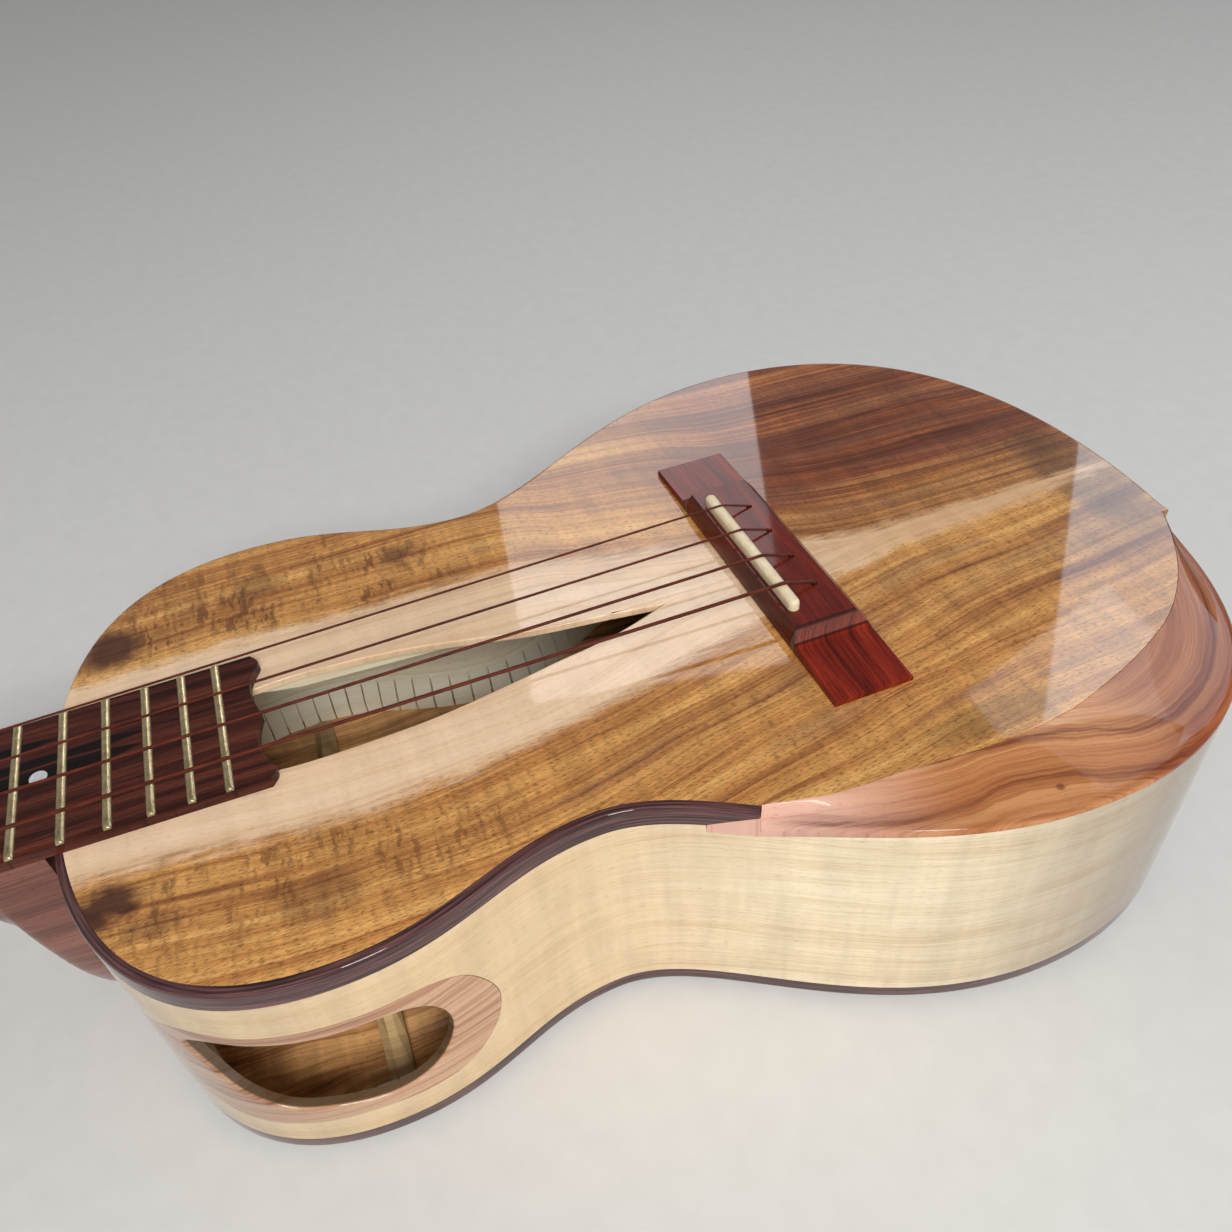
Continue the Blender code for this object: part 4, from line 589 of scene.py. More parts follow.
def top_wood():
    """Bookmatched top: pale band about the seam, golden brown beyond it, darker towards the tail."""
    net = Net("top_tonewood", 0.40, coat=1.0, coat_rough=0.035)
    x, y, z = net.axes()
    treble = x.fade(-0.02, 0.02)
    half = abs(x)
    sap = net.mix_value(treble, net.curve(y, SAP_BASS, 0, 50), net.curve(y, SAP_TREBLE, 0, 50))
    offset = treble * 0.35
    sway = net.sway(half, y, 42.0, 100.0, offset + 3.1, 1.0, 13.0)
    sway = sway + net.sway(half, y, 11.0, 34.0, offset + 7.7, 2.0, 2.4)
    lane = half - sap * half.fade(45.0, 105.0, 1.0, 0.35) + sway * half.fade(8.0, 40.0, 0.35, 1.0)

    _, fine, grain = net.grain(lane, y, (7.0, 210.0, offset, 3.0, 0.55),
                               (1.1, 60.0, offset + 5.0, 3.0, 0.62), 0.58)
    gold = net.ramp(grain, (0.36, 138, 84, 46), (0.44, 180, 120, 64), (0.52, 206, 148, 82),
                    (0.62, 228, 174, 104))
    red = net.ramp(grain, (0.38, 88, 41, 23), (0.46, 124, 63, 34), (0.53, 158, 90, 50),
                   (0.62, 192, 127, 74))
    heart = net.mix(treble * y.fade(26.0, -24.0) * half.fade(12.0, 26.0, 0.55, 1.0), gold, red)
    plum = net.drawn(lane, y, 9.0, 70.0, offset + 41.0, 1.0).fade(0.50, 0.64)
    heart = net.mix(plum * y.fade(96.0, 60.0) * 0.42, heart, (122, 76, 60))

    for streaks, near, tint in ((STREAKS_BASS, 1.0 - treble, (96, 52, 38)),
                                (STREAKS_TREBLE, treble, (66, 28, 20))):
        for centre, width, low, high, soft, depth in streaks:
            core = abs(lane - centre).fade(width * 0.3, width * 1.7, 1.0, 0.0)
            share = core * y.between(low, high, soft) * near * fine.fade(0.32, 0.58, 1.0, 0.45) * depth
            heart = net.mix(share * 0.65, heart, tint)

    # Cross-grain figure of the upper bout: short dark flecks in patches
    upper = y.fade(58.0, 98.0)
    flecks = net.drawn(half, y + fine * 2.0, 5.5, 1.5, offset + 9.0, 1.0)
    patches = net.drawn(half, y, 16.0, 12.0, offset + 21.0, 2.0)
    near = lane.fade(0.0, 5.0) * lane.fade(14.0, 30.0, 1.0, 0.5)
    share = flecks.fade(0.50, 0.62) * patches.fade(0.40, 0.62) * upper * near
    heart = net.mix(share * net.mix_value(treble, 0.50, 0.72), heart, (88, 48, 22))
    share = patches.fade(0.52, 0.68) * upper * net.mix_value(treble, 0.16, 0.40)
    heart = net.mix(share, heart, (120, 70, 32))

    # Brown patch at the tail beyond the pale band, and an olive eye beside the bevel
    heart = net.mix(net.spot(x, y, (-2.0, -110.0), (26.0, 13.0), 0.4) * 0.6, heart, (84, 58, 46))
    ragged = net.sway(x, y, 4.0, 5.0, 31.0, 3.0, 7.0)
    eye = net.spot(x + ragged, y, (-73.0, -28.0), (5.0, 19.0), 0.3)
    heart = net.mix(eye * 0.45, heart, (120, 92, 50))

    pale = net.ramp(grain, (0.36, 218, 180, 142), (0.50, 236, 202, 166), (0.62, 242, 212, 180))
    pale = net.mix(y.fade(10.0, -70.0, 0.0, 0.6), pale, (206, 156, 106))
    edge = lane + net.sway(half, y, 1.6, 12.0, 13.0, 3.0, 9.0)
    inside = edge.fade(-3.0, 3.4)
    curl = net.drawn(half, y, 30.0, 5.0, offset + 2.0, 2.0).fade(0.32, 0.68, -1.0, 1.0)
    colour = net.shade(net.mix(inside, pale, heart), curl * net.mix_value(inside, 0.035, 0.11) + 1.0)
    for centre, size, depth in SPOTS:
        spot = net.spot(x + ragged, y + ragged, centre, size)
        colour = net.mix(spot * depth, colour, (62, 26, 20))

    # The underside is bare, paler wood, painted paler still as painted light for the dim inside of the body
    low = (TOP_Z - TOP_THICK) * 1000
    colour = net.mix(z.fade(low + 0.1, low + 0.4, 0.75, 0.0), colour, (226, 198, 152))
    deep = net.mix_value(edge.fade(-3.0, 3.0), 0.10, 0.50)
    return net.done(net.pores(colour, x + sway * 0.4, y, (0.30, 1.8), 17.0, deep, (74, 38, 18), 0.08,
                              (0.53, 0.65)))


def side_wood():
    """Pale curly side with its grain along the rim."""
    net = Net("side_tonewood", 0.38, coat=1.0)
    s, inset, z = net.run()
    lane = z + net.sway(z, s, 24.0, 80.0, 2.0, 2.0, 8.0)
    wide, _, grain = net.grain(lane, s, (6.0, 160.0, 1.0, 2.0, 0.5), (0.7, 34.0, 4.0, 3.0, 0.6), 0.5)
    colour = net.ramp(grain, (0.36, 212, 188, 152), (0.48, 230, 210, 176), (0.60, 238, 222, 192))
    colour = net.mix(s.fade(225.0, 150.0, 0.0, 0.55), colour, (206, 170, 120))
    # Painted shade: the wall is darker towards the neck joint
    colour = net.shade(colour, s.fade(150.0, 30.0, 1.0, 0.82))
    # Painted shade: grey brown from just past the bevel's start towards the tail, for the shade on that side
    start = BEVEL_S * 1000
    colour = net.mix(s.fade(start + 20.0, start + 130.0, 0.0, 0.88), colour, (102, 86, 72))
    curl = net.drawn(s, z + wide * 10.0, 8.0, 46.0, 8.0, 2.0).fade(0.34, 0.66, -1.0, 1.0)
    ripple = net.drawn(s, z, 2.2, 22.0, 28.0, 1.0).fade(0.34, 0.66, -1.0, 1.0)
    colour = net.shade(colour, curl * 0.055 + ripple * 0.02 + 1.0)
    # The inner face is bare, paler wood, painted paler still as painted light for the dim inside of the body
    colour = net.mix(inset.fade(0.8, 1.2, 0.0, 0.8), colour, (246, 238, 216))
    return net.done(net.pores(colour, z, s, (0.30, 3.0), 6.0, 0.30, (150, 112, 62), 0.05))


# Dark lines of the bevel's veneer: millimetres along the rim from its start, and in from the side
VEIN_INNER = ((0.0, 3.0), (30.0, 14.0), (50.0, 19.0), (60.0, 20.1), (75.0, 19.6), (86.0, 17.1),
              (92.0, 14.2), (99.0, 11.1), (109.0, 8.7), (118.0, 7.8), (128.0, 6.7), (146.0, 6.0),
              (162.0, 6.2), (175.0, 6.8), (200.0, 2.0))
VEIN_OUTER = ((0.0, 1.0), (18.0, 1.5), (31.0, 2.3), (41.0, 4.0), (49.0, 6.2), (55.0, 8.9), (62.0, 9.7),
              (70.0, 9.1), (76.0, 7.6), (81.0, 4.6), (89.0, 2.6), (97.0, 1.4), (106.0, 0.6), (200.0, -3.0))


def bevel_wood():
    """Reddish veneer with a few dark lines that flow along it."""
    net = Net("bevel_tonewood", 0.34, coat=0.45)
    s, inset, z = net.run()
    s = s - BEVEL_S * 1000
    ragged = inset + net.sway(inset, s, 3.0, 9.0, 9.0, 3.0, 1.6)
    inner = ragged - net.curve(s, VEIN_INNER, -5, 25)
    outer = ragged - net.curve(s, VEIN_OUTER, -5, 25)
    _, fine, grain = net.grain(inner * 0.5 + outer * 0.5, s, (2.6, 170.0, 3.0, 2.0, 0.5),
                               (0.6, 50.0, 11.0, 3.0, 0.6), 0.55)
    tan = net.ramp(grain, (0.36, 172, 106, 64), (0.48, 200, 134, 82), (0.60, 218, 160, 108))
    red = net.ramp(grain, (0.36, 104, 48, 28), (0.48, 136, 68, 40), (0.60, 162, 94, 58))
    rosy = s.fade(84.0, 116.0) * 0.75 + inner.fade(-1.0, -7.0) * 0.35
    colour = net.mix(net.math("MINIMUM", rosy, 1.0), tan, red)
    colour = net.mix(s.fade(48.0, 4.0, 0.0, 0.75), colour, (226, 186, 172))
    for away, reach, depth in ((inner, (44.0, 190.0, 12.0), 0.80), (outer, (14.0, 100.0, 16.0), 0.72),
                               (inset - 0.9, (36.0, 90.0, 12.0), 0.45),
                               (inner - 3.2, (92.0, 150.0, 16.0), 0.40)):
        core = abs(away).fade(0.15, 1.3, 1.0, 0.0)
        halo = abs(away).fade(0.5, 3.6, 0.42, 0.0)
        share = net.math("MAXIMUM", core, halo) * s.between(*reach) * depth * fine.fade(0.36, 0.60, 1.0, 0.6)
        colour = net.mix(share, colour, (92, 34, 24))
    colour = net.mix(net.spot(s, inset, (69.0, 6.2), (1.1, 0.8), 0.5) * 0.7, colour, (90, 40, 26))
    return net.done(net.pores(colour, inset, s, (0.28, 2.0), 16.0, 0.22, (110, 56, 40), 0.04))


def ring_wood():
    """Soundport ring: pinkish tan with darker streaks along the rim."""
    net = Net("port_tonewood", 0.34, coat=1.0, coat_rough=0.02)
    s, inset, z = net.run()
    lane = z + inset * 0.6 + net.sway(z, s, 22.0, 44.0, 5.0, 2.0, 9.0)
    grain = net.grain(lane, s, (2.2, 150.0, 3.0, 2.0, 0.5), (0.5, 44.0, 11.0, 3.0, 0.6), 0.6)[2]
    colour = net.ramp(grain, (0.34, 116, 68, 48), (0.42, 170, 118, 88), (0.52, 204, 160, 126),
                      (0.66, 218, 182, 150))
    colour = net.pores(colour, z, s, (0.28, 2.0), 16.0, 0.25, (110, 60, 44), 0.04)
    port = PORT_MIDDLE_S * 1000
    # Painted shade: darker all round, most on the neck side of the port
    colour = net.shade(colour, s.fade(port + 30.0, port - 30.0, 0.92, 0.70))
    # The hole's edge, below its rounding, is painted dark: painted shade where its wall lies in shade
    return net.done(net.mix(inset.fade(0.45, 0.90, 0.0, 0.85), colour, (74, 56, 36)))


def binding_wood():
    net = Net("binding_wood", 0.32, coat=1.0)
    s, inset, z = net.run()
    grain = net.drawn(z + inset, s, 0.6, 26.0, 1.0, 3.0, 0.6)
    net.bump(grain, 0.05)
    return net.done(net.ramp(grain, (0.38, 42, 22, 22), (0.50, 74, 44, 44), (0.62, 104, 68, 66)))


def dark_grain(net, across, along, z, streak, dark, middle, light):
    """Streaked dark wood; gives its fine layer and its colour."""
    lane = across + z * 0.7 + net.sway(across, along, 14.0, 60.0, 3.0, 2.0, 5.0)
    _, fine, grain = net.grain(lane, along, (*streak, 1.0, 3.0, 0.6), (0.5, 16.0, 2.0, 3.0, 0.6), 0.65)
    return fine, net.ramp(grain, (0.38, *dark), (0.50, *middle), (0.63, *light))


def fretboard_wood():
    net = Net("fretboard_wood", 0.42, coat=0.3)
    x, y, z = net.axes()
    _, colour = dark_grain(net, x, y, z, (3.0, 90.0), (40, 19, 16), (72, 34, 27), (106, 54, 40))
    colour = net.pores(colour, x, y, (0.28, 1.6), 5.0, 0.55, (24, 12, 12), 0.25)
    # Black veins near the middle strings, each ending in a point
    wave = net.sway(x, y, 5.0, 18.0, 9.0, 2.0, 2.0)
    for centre, width, low in ((2.2, 2.4, 160.0), (6.6, 1.5, 158.0), (13.0, 1.3, 178.0)):
        away = abs(x - centre + wave)
        vein = (away - y.fade(low, low + 14.0) * width).fade(-0.5, 0.3, 1.0, 0.0)
        colour = net.mix(vein * y.fade(low, low + 3.0) * 0.92, colour, (16, 12, 14))
    rubbed_and_painted_highlight = net.drawn(x, y, 6.0, 30.0, 40.0, 3.0)
    net.plug(net.inputs["Roughness"], rubbed_and_painted_highlight.fade(0.3, 0.7, 0.34, 0.50))
    return net.done(colour)


def bridge_wood():
    """Dark wood with its grain along the bridge, a painted highlight along the cove at each end of the block,
    and dark painted shade lines beside it.
    """
    net = Net("bridge_wood", 0.34, coat=0.5, coat_rough=0.05)
    x, y, z = net.axes()
    fine, colour = dark_grain(net, y, x, z, (3.4, 70.0), (70, 14, 6), (116, 28, 13), (148, 46, 22))
    out = abs(x)
    block = BRIDGE_BLOCK_HALF * 1000
    colour = net.mix(out.fade(block + 0.4, block - 0.4, 0.0, 0.35), colour, (78, 40, 36))
    # Painted highlight: a lighter band along the steep part of the cove at each end of the block
    rubbed_and_painted_highlight = out.between(block - 0.2, block + 1.4, 0.4) * fine.fade(0.34, 0.60, 0.4, 1.0)
    colour = net.mix(rubbed_and_painted_highlight * 0.45, colour, (124, 92, 84))
    # Painted shade: dark lines at the top and the foot of the cove's band
    for place in (block - 0.5, block + 1.9):
        colour = net.mix(abs(out - place).fade(0.15, 0.45, 1.0, 0.0) * 0.75, colour, (34, 14, 10))
    return net.done(net.pores(colour, y, x, (0.28, 1.6), 5.0, 0.5, (30, 10, 8), 0.2))


def plate_wood():
    """Heel cap and the face of the head."""
    net = Net("headplate_wood", 0.36, coat=1.0)
    x, y, z = net.axes()
    _, colour = dark_grain(net, x, y, z, (3.0, 90.0), (44, 24, 22), (76, 42, 34), (104, 60, 46))
    return net.done(net.pores(colour, x, y, (0.28, 1.6), 5.0, 0.55, (24, 12, 12), 0.25))


def neck_wood():
    net = Net("neck_mahogany", 0.36, coat=0.8, coat_rough=0.05)
    x, y, z = net.axes()
    lane = z + x * 0.6 + net.sway(x, y, 20.0, 90.0, 3.0, 2.0, 8.0)
    grain = net.grain(lane, y, (5.0, 120.0, 6.0, 3.0), (0.7, 22.0, 7.0, 3.0, 0.6), 0.55)[2]
    colour = net.ramp(grain, (0.36, 86, 50, 44), (0.50, 118, 72, 60), (0.64, 142, 92, 76))
    return net.done(net.pores(colour, x + z, y, (0.30, 2.2), 9.0, 0.5, (56, 30, 28), 0.15))


def inner_wood(name, dark, light, run=False):
    """Unfinished wood inside the body."""
    net = Net(name, 0.62)
    if run:
        along, inset, z = net.run()
        across = z + inset
    else:
        x, along, z = net.axes()
        across = x + z
    grain = net.grain(across, along, (2.0, 50.0, 2.0, 3.0), (0.5, 14.0, 4.0, 3.0), 0.6)[2]
    net.bump(grain, 0.25)
    return net.done(net.ramp(grain, (0.36, *dark), (0.62, *light)))


def back_wood():
    """Back, seen through the slot and the port and from behind."""
    net = Net("back_tonewood", 0.38, coat=1.0)
    x, y, z = net.axes()
    half = abs(x)
    lane = half + net.sway(half, y, 36.0, 80.0, 13.0, 2.0, 26.0)
    lane = lane + net.sway(half, y, 8.0, 24.0, 17.0, 2.0, 3.0)
    grain = net.grain(lane, y, (8.0, 170.0, 31.0, 3.0, 0.55), (1.2, 40.0, 35.0, 3.0, 0.6), 0.65)[2]
    colour = net.ramp(grain, (0.36, 96, 62, 38), (0.45, 142, 98, 60), (0.53, 178, 132, 84),
                      (0.64, 204, 162, 108))
    # The inner face is bare, lighter wood, brightened further as painted light for the dim inside of the body
    colour = net.shade(colour, z.fade(0.4, BACK_THICK * 1000 - 0.2, 1.0, 1.55))
    curl = net.drawn(half, y, 24.0, 5.0, 22.0, 2.0)
    colour = net.shade(colour, curl.fade(0.34, 0.68, 0.86, 1.10))
    return net.done(net.pores(colour, x, y, (0.42, 1.8), 57.0, 0.35, (70, 40, 22), 0.12))


def bone():
    net = Net("bone", 0.34, coat=0.25, coat_rough=0.1)
    x, y, z = net.axes()
    net.inputs["Subsurface Weight"].default_value = 0.15
    net.inputs["Subsurface Scale"].default_value = 0.001
    net.bump(net.drawn(x, y, 0.4, 0.4, 2.0), 0.05)
    cloud = net.drawn(x, y + z, 4.0, 2.0, 1.0, 3.0)
    return net.done(net.ramp(cloud, (0.3, 226, 206, 168), (0.7, 242, 228, 198)))


def metal(name, dark, light, rough):
    net = Net(name, rough, metal=1.0)
    x, y, z = net.axes()
    wear = net.noise(x * 0.6, y * 0.6, z * 0.6, 4.0)
    brushed = net.noise(x * 0.5, y * 7.0, z * 7.0)
    net.plug(net.inputs["Roughness"], brushed.fade(0.3, 0.7, rough * 0.75, rough * 1.35))
    net.bump(brushed, 0.03)
    return net.done(net.ramp(wear, (0.3, *dark), (0.7, *light)))


def string_nylon():
    net = Net("string_nylon", 0.42)
    net.inputs["Specular IOR Level"].default_value = 0.2
    x, y, z = net.axes()
    cloud = net.noise(x, y * 0.2, z)
    net.bump(cloud, 0.01)
    return net.done(net.ramp(cloud, (0.35, 74, 30, 20), (0.65, 98, 44, 30)))


def pearl(name, dark, light):
    net = Net(name, 0.25, coat=0.8, coat_rough=0.05)
    x, y, z = net.axes()
    swirl = net.noise(x * 0.4, y * 0.4, z * 0.4, 3.0, warp=1.5)
    net.bump(swirl, 0.02)
    return net.done(net.ramp(swirl, (0.3, *dark), (0.7, *light)))


# Meshes


def world(x, y, z):
    """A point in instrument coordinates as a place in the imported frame."""
    return (x, y - MIDDLE_Y, z)


def quarter(steps):
    """1 - cos and 1 - sin at even steps of a right angle."""
    return [(1 - math.cos(turn), 1 - math.sin(turn)) for turn in spread(0.0, math.pi / 2, steps)]


def circle(radius, sides, x=0.0, y=0.0, tall=None):
    """Points of a circle, or of an ellipse where tall is its half height."""
    tall = radius if tall is None else tall
    return [(x + radius * math.cos(math.tau * k / sides), y + tall * math.sin(math.tau * k / sides))
            for k in range(sides)]


def skin(rings):
    """Vertices and faces through rings of equal point counts, with flat end caps."""
    count = len(rings[0])
    verts = [point for ring in rings for point in ring]
    faces = [tuple(range(count))]
    for row in range(len(rings) - 1):
        for col in range(count):
            a = row * count + col
            b = row * count + (col + 1) % count
            faces.append((a, b, b + count, a + count))
    last = (len(rings) - 1) * count
    faces.append(tuple(range(last + count - 1, last - 1, -1)))
    return verts, faces


def skins(groups):
    """Several closed skins as one shape."""
    verts = []
    faces = []
    for rings in groups:
        more, sides = skin(rings)
        faces += [tuple(len(verts) + k for k in face) for face in sides]
        verts += more
    return verts, faces


def stack(outline, levels, place=world):
    """Closed shape through one outline at several levels."""
    return skin([[place(x, y, z) for x, y in outline] for z in levels])


def solid(name, shape, run=None):
    """Object with merged points and outward faces; run gives each point's place along the rim."""
    verts, faces = shape
    mesh = bpy.data.meshes.new(name)
    mesh.from_pydata([tuple(v) for v in verts], [], faces)
    if run:
        layer = mesh.attributes.new("run", "FLOAT_VECTOR", "POINT")
        layer.data.foreach_set("vector", [c for place in run for c in place])
    work = bmesh.new()
    work.from_mesh(mesh)
    bmesh.ops.remove_doubles(work, verts=work.verts, dist=1e-7)
    bmesh.ops.recalc_face_normals(work, faces=work.faces)
    work.to_mesh(mesh)
    work.free()
    piece = bpy.data.objects.new(name, mesh)
    bpy.context.collection.objects.link(piece)
    return piece


def make_mesh(name, shape, finish, slot, run=None, sharp=32.0, body="instrument"):
    """A closed piece, smooth but for its sharp edges, riding on a body."""
    piece = solid(name, shape, run)
    piece.data.shade_smooth()
    piece.data.set_sharp_from_angle(angle=math.radians(sharp))
    piece.data.materials.append(finish)
    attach(piece, body)
    return piece


def cut(piece, shape, operation="DIFFERENCE"):
    """Boolean with a helper solid that is removed again."""
    tool = solid("helper", shape)
    step = piece.modifiers.new("cut", "BOOLEAN")
    step.operation = operation
    step.solver = "EXACT"
    step.object = tool
    bpy.context.view_layer.update()
    graph = bpy.context.evaluated_depsgraph_get()
    baked = bpy.data.meshes.new_from_object(piece.evaluated_get(graph), depsgraph=graph)
    piece.modifiers.remove(step)
    spent = (piece.data, tool.data)
    piece.data = baked
    bpy.data.objects.remove(tool, do_unlink=True)
    for mesh in spent:
        bpy.data.meshes.remove(mesh)


def ease(piece, width, angle, sharp=None):
    """Small rounding of the edges above an angle, once a cut piece's sharp edges are marked again."""
    if sharp:
        piece.data.set_sharp_from_angle(angle=math.radians(sharp))
    step = piece.modifiers.new("ease", "BEVEL")
    step.width = width
    step.segments = 2
    step.limit_method = "ANGLE"
    step.angle_limit = math.radians(angle)
    step.use_clamp_overlap = True
    step.harden_normals = True


def rail(name, side, stations, finish, slot, node):
    """Strip along the rim; each station is (s, ((inset, z), ...))."""
    rings = []
    run = []
    for s, section in stations:
        rings.append([world(*RIM.at(s, inset, side), z) for inset, z in section])
        run += [(s, inset, z) for inset, z in section]
    piece = make_mesh(name, skin(rings), finish, slot, run=run)
    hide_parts(node)
    return piece


def half_ring(side, places):
    """Ring from seam to seam along the rim; places are (s, inset, z)."""
    seam = side * SEAM / 2
    ring = []
    for s, inset, z in places:
        x, y = RIM.at(s, inset, side)
        ring.append(world(side * max(abs(x), SEAM / 2), y, z))
    for end in (0, -1):
        ring[end] = (seam, *ring[end][1:])
    return ring


def seam_path(side):
    """Inner edge of a soundboard half from the tail to the neck joint, with the slot's edge in it."""
    treble = spline(SLOT_TREBLE_EDGE, 14)
    bass = spline(SLOT_BASS_EDGE, 14)
    seam = side * SEAM / 2
    crossing = next(k for k, (x, _) in enumerate(treble) if x <= 0)
    edge = treble[:crossing][::-1] if side == TREBLE else treble[crossing:] + bass[-2::-1]
    return [(seam, edge[0][1], False)] + [(x, y, True) for x, y in edge] + [(seam, edge[-1][1], False)]


def inward(points, k, side):
    """Unit normal of the slot's edge, pointing into the wood."""
    before = points[max(k - 1, 0)]
    after = points[min(k + 1, len(points) - 1)]
    along = Vector((after[0] - before[0], after[1] - before[1]))
    if along.length == 0:
        return Vector((side, 0.0))
    along.normalize()
    return Vector((along.y, -along.x)) * side


def rounded(level, radius):
    """Shift inward and height of one level of the top's rounded edge."""
    if level is None:
        return 0.0, TOP_Z - TOP_THICK
    out, down, flat = level
    return radius * out + flat, TOP_Z - radius * down


def soundboard(name, side, stations, finish):
    """Half of the top; stations are (s, inset, rounding)."""
    path = seam_path(side)
    rings = []
    for level in [None] + [(*turn, 0.0) for turn in quarter(5)] + [(1.0, 0.0, 0.0002)]:
        places = []
        for s, inset, radius in stations:
            shift, z = rounded(level, radius)
            places.append((s, inset + shift, z))
        ring = half_ring(side, places)
        for k, (x, y, eased) in enumerate(path):
            shift, z = rounded(level, SLOT_ROUND if eased else 0.0)
            turn = inward(path, k, side) * (shift if eased else 0.0)
            ring.append(world(x + turn.x, y + turn.y, z))
        rings.append(ring)
    piece = make_mesh(name + "_board", skin(rings), finish, "figured_tonewood")
    piece.modifiers.new("normals", "WEIGHTED_NORMAL").keep_sharp = True
    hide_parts(name)


def back_half(name, side, finish):
    inset = BINDING_WIDTH + HAIRLINE
    rings = [half_ring(side, [(s, inset, z) for s in spread(0.0, RIM.total, RIM_STEPS)])
             for z in (0.0, BACK_THICK)]
    piece = make_mesh(name + "_wood", skin(rings), finish, "figured_tonewood")
    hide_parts(name)


def top_binding_section(s):
    """Section of the top binding, thinner over the bevel's root."""
    low = TOP_Z - scarf_tall(s)
    edge = [(EDGE_ROUND * out, TOP_Z - EDGE_ROUND * down) for out, down in quarter(6)]
    return [(0.0, low)] + edge + [(BINDING_WIDTH, TOP_Z), (BINDING_WIDTH, low)]


def back_binding_section():
    edge = [(BACK_ROUND * down, BACK_ROUND * out) for out, down in quarter(5)]
    return [(BINDING_WIDTH, 0.0)] + edge + [(0.0, BACK_BINDING_TALL), (BINDING_WIDTH, BACK_BINDING_TALL)]


def scarf_tall(s):
    share = min(max((s - SCARF_S) / (BEVEL_S - SCARF_S), 0.0), 1.0)
    return TOP_BINDING_TALL * (1 - SCARF_THINNING * share)


def bevel_section(s):
    """Full section of the bevel's veneer: a slope that curves over, then turns down to the side."""
    width = bevel_width(s)
    drop = bevel_drop(s)
    turn = min(BEVEL_TURN_WIDTH, 0.6 * width)
    brow = BEVEL_BROW * drop
    points = [(width + (turn - width) * share, TOP_Z - brow * share ** 1.6)
              for share in spread(0.0, 1.0, BEVEL_FLAT)]
    points += [(turn * down, TOP_Z - brow - BEVEL_FALL * (drop - brow) * out)
               for out, down in quarter(BEVEL_TURN)[1:]]
    return points + [(0.0, TOP_Z - drop), (SIDE_THICK, TOP_Z - drop), (width, TOP_Z - BEVEL_THICK)]


def scarf_section(s):
    """The bevel's root below the binding, with as many points as its full section."""
    high = TOP_Z - scarf_tall(s) - HAIRLINE
    low = TOP_Z - bevel_drop(s)
    outer = [(0.0, z) for z in spread(high, low, BEVEL_FLAT + BEVEL_TURN)]
    return [(SIDE_THICK * 0.5, high)] + outer + [(SIDE_THICK, low), (SIDE_THICK, high)]


def side_walls(finish):
    """Both bent sides, the bass one with the port cut out and its places marked again."""
    low = BACK_BINDING_TALL + HAIRLINE
    high = TOP_Z - TOP_THICK - HAIRLINE
    under_binding = TOP_Z - TOP_BINDING_TALL - HAIRLINE

    def station(s, top):
        return s, ((0.0, low), (0.0, top), (SIDE_THICK, top), (SIDE_THICK, low))

    rail("side_treble_wood", TREBLE, [station(s, high) for s in spread(0.0, RIM.total, RIM_STEPS)], finish,
         "pale_tonewood", "side_treble")
    stations = [station(s, under_binding) for s in spread(0.0, SCARF_S, 200)]
    stations += [station(s, TOP_Z - bevel_drop(s) - HAIRLINE) for s in scarf_steps() + bevel_steps()]
    stations += [station(s, high) for s in tail_steps()]
    wall = rail("side_bass_wood", BASS, stations, finish, "pale_tonewood", "side_bass")
    cut(wall, port_cutter())
    origin = Vector(world(0.0, 0.0, 0.0))
    for mark, vert in zip(wall.data.attributes["run"].data, wall.data.vertices):
        x, y, z = vert.co - origin
        if low + 0.0001 < z < under_binding - 0.0001:
            mark.vector = (*RIM.place(abs(x), y), z)


def leaf_points(leaf, steps, grow=0.0):
    """Closed leaf outline as (arc length, height) pairs."""
    out = []
    for along, up in spline(leaf, steps, closed=True):
        reach = math.hypot(along, up)
        scale = (reach + grow) / reach
        out.append((PORT_MIDDLE_S - along * scale, PORT_MIDDLE_Z + up * scale))
    return out


def port_cutter():
    """Leaf-shaped plug through the side, a little larger than the ring, capped with flat strips."""
    points = leaf_points(RING_LEAF, 8, PORT_PLAY)
    count = len(points)
    verts = [world(*RIM.at(s, inset, BASS), z) for inset in (-0.004, SIDE_THICK + 0.004) for s, z in points]
    faces = [(k, (k + 1) % count, count + (k + 1) % count, count + k) for k in range(count)]
    for base in (0, count):
        faces.append((base, base + 1, base + count - 1))
        for k in range(1, count // 2 - 1):
            faces.append((base + k, base + k + 1, base + count - k - 1, base + count - k))
        faces.append((base + count // 2 - 1, base + count // 2, base + count // 2 + 1))
    return verts, faces


def soundport_ring(finish):
    """Leaf-shaped ring let into the side, its inner lip rounded over."""
    outer = leaf_points(RING_LEAF, 12)
    inner = leaf_points(PORT_LEAF, 12)
    count = len(outer)
    under = RING_THICK + 0.0006
    section = [(share, 0.0, 0.0) for share in (0.0, 0.2, 0.4, 0.6, 0.75)]
    section += [(1.0, RING_ROUND * out, RING_ROUND * down) for out, down in quarter(6)]
    section += [(share, under, 0.0) for share in (1.0, 0.5, 0.0)]
    run = []
    for share, inset, back in section:
        for a, b in zip(outer, inner):
            ds, dz = b[0] - a[0], b[1] - a[1]
            part = share - back / math.hypot(ds, dz)
            run.append((a[0] + ds * part, inset, a[1] + dz * part))
    verts = [world(*RIM.at(s, inset, BASS), z) for s, inset, z in run]
    faces = []
    for row in range(len(section)):
        here = row * count
        after = (row + 1) % len(section) * count
        for col in range(count):
            beside = (col + 1) % count
            faces.append((here + col, here + beside, after + beside, after + col))
    piece = make_mesh("port_ring", (verts, faces), finish, "veneer_wood", run=run)
    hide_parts("soundport_ring")


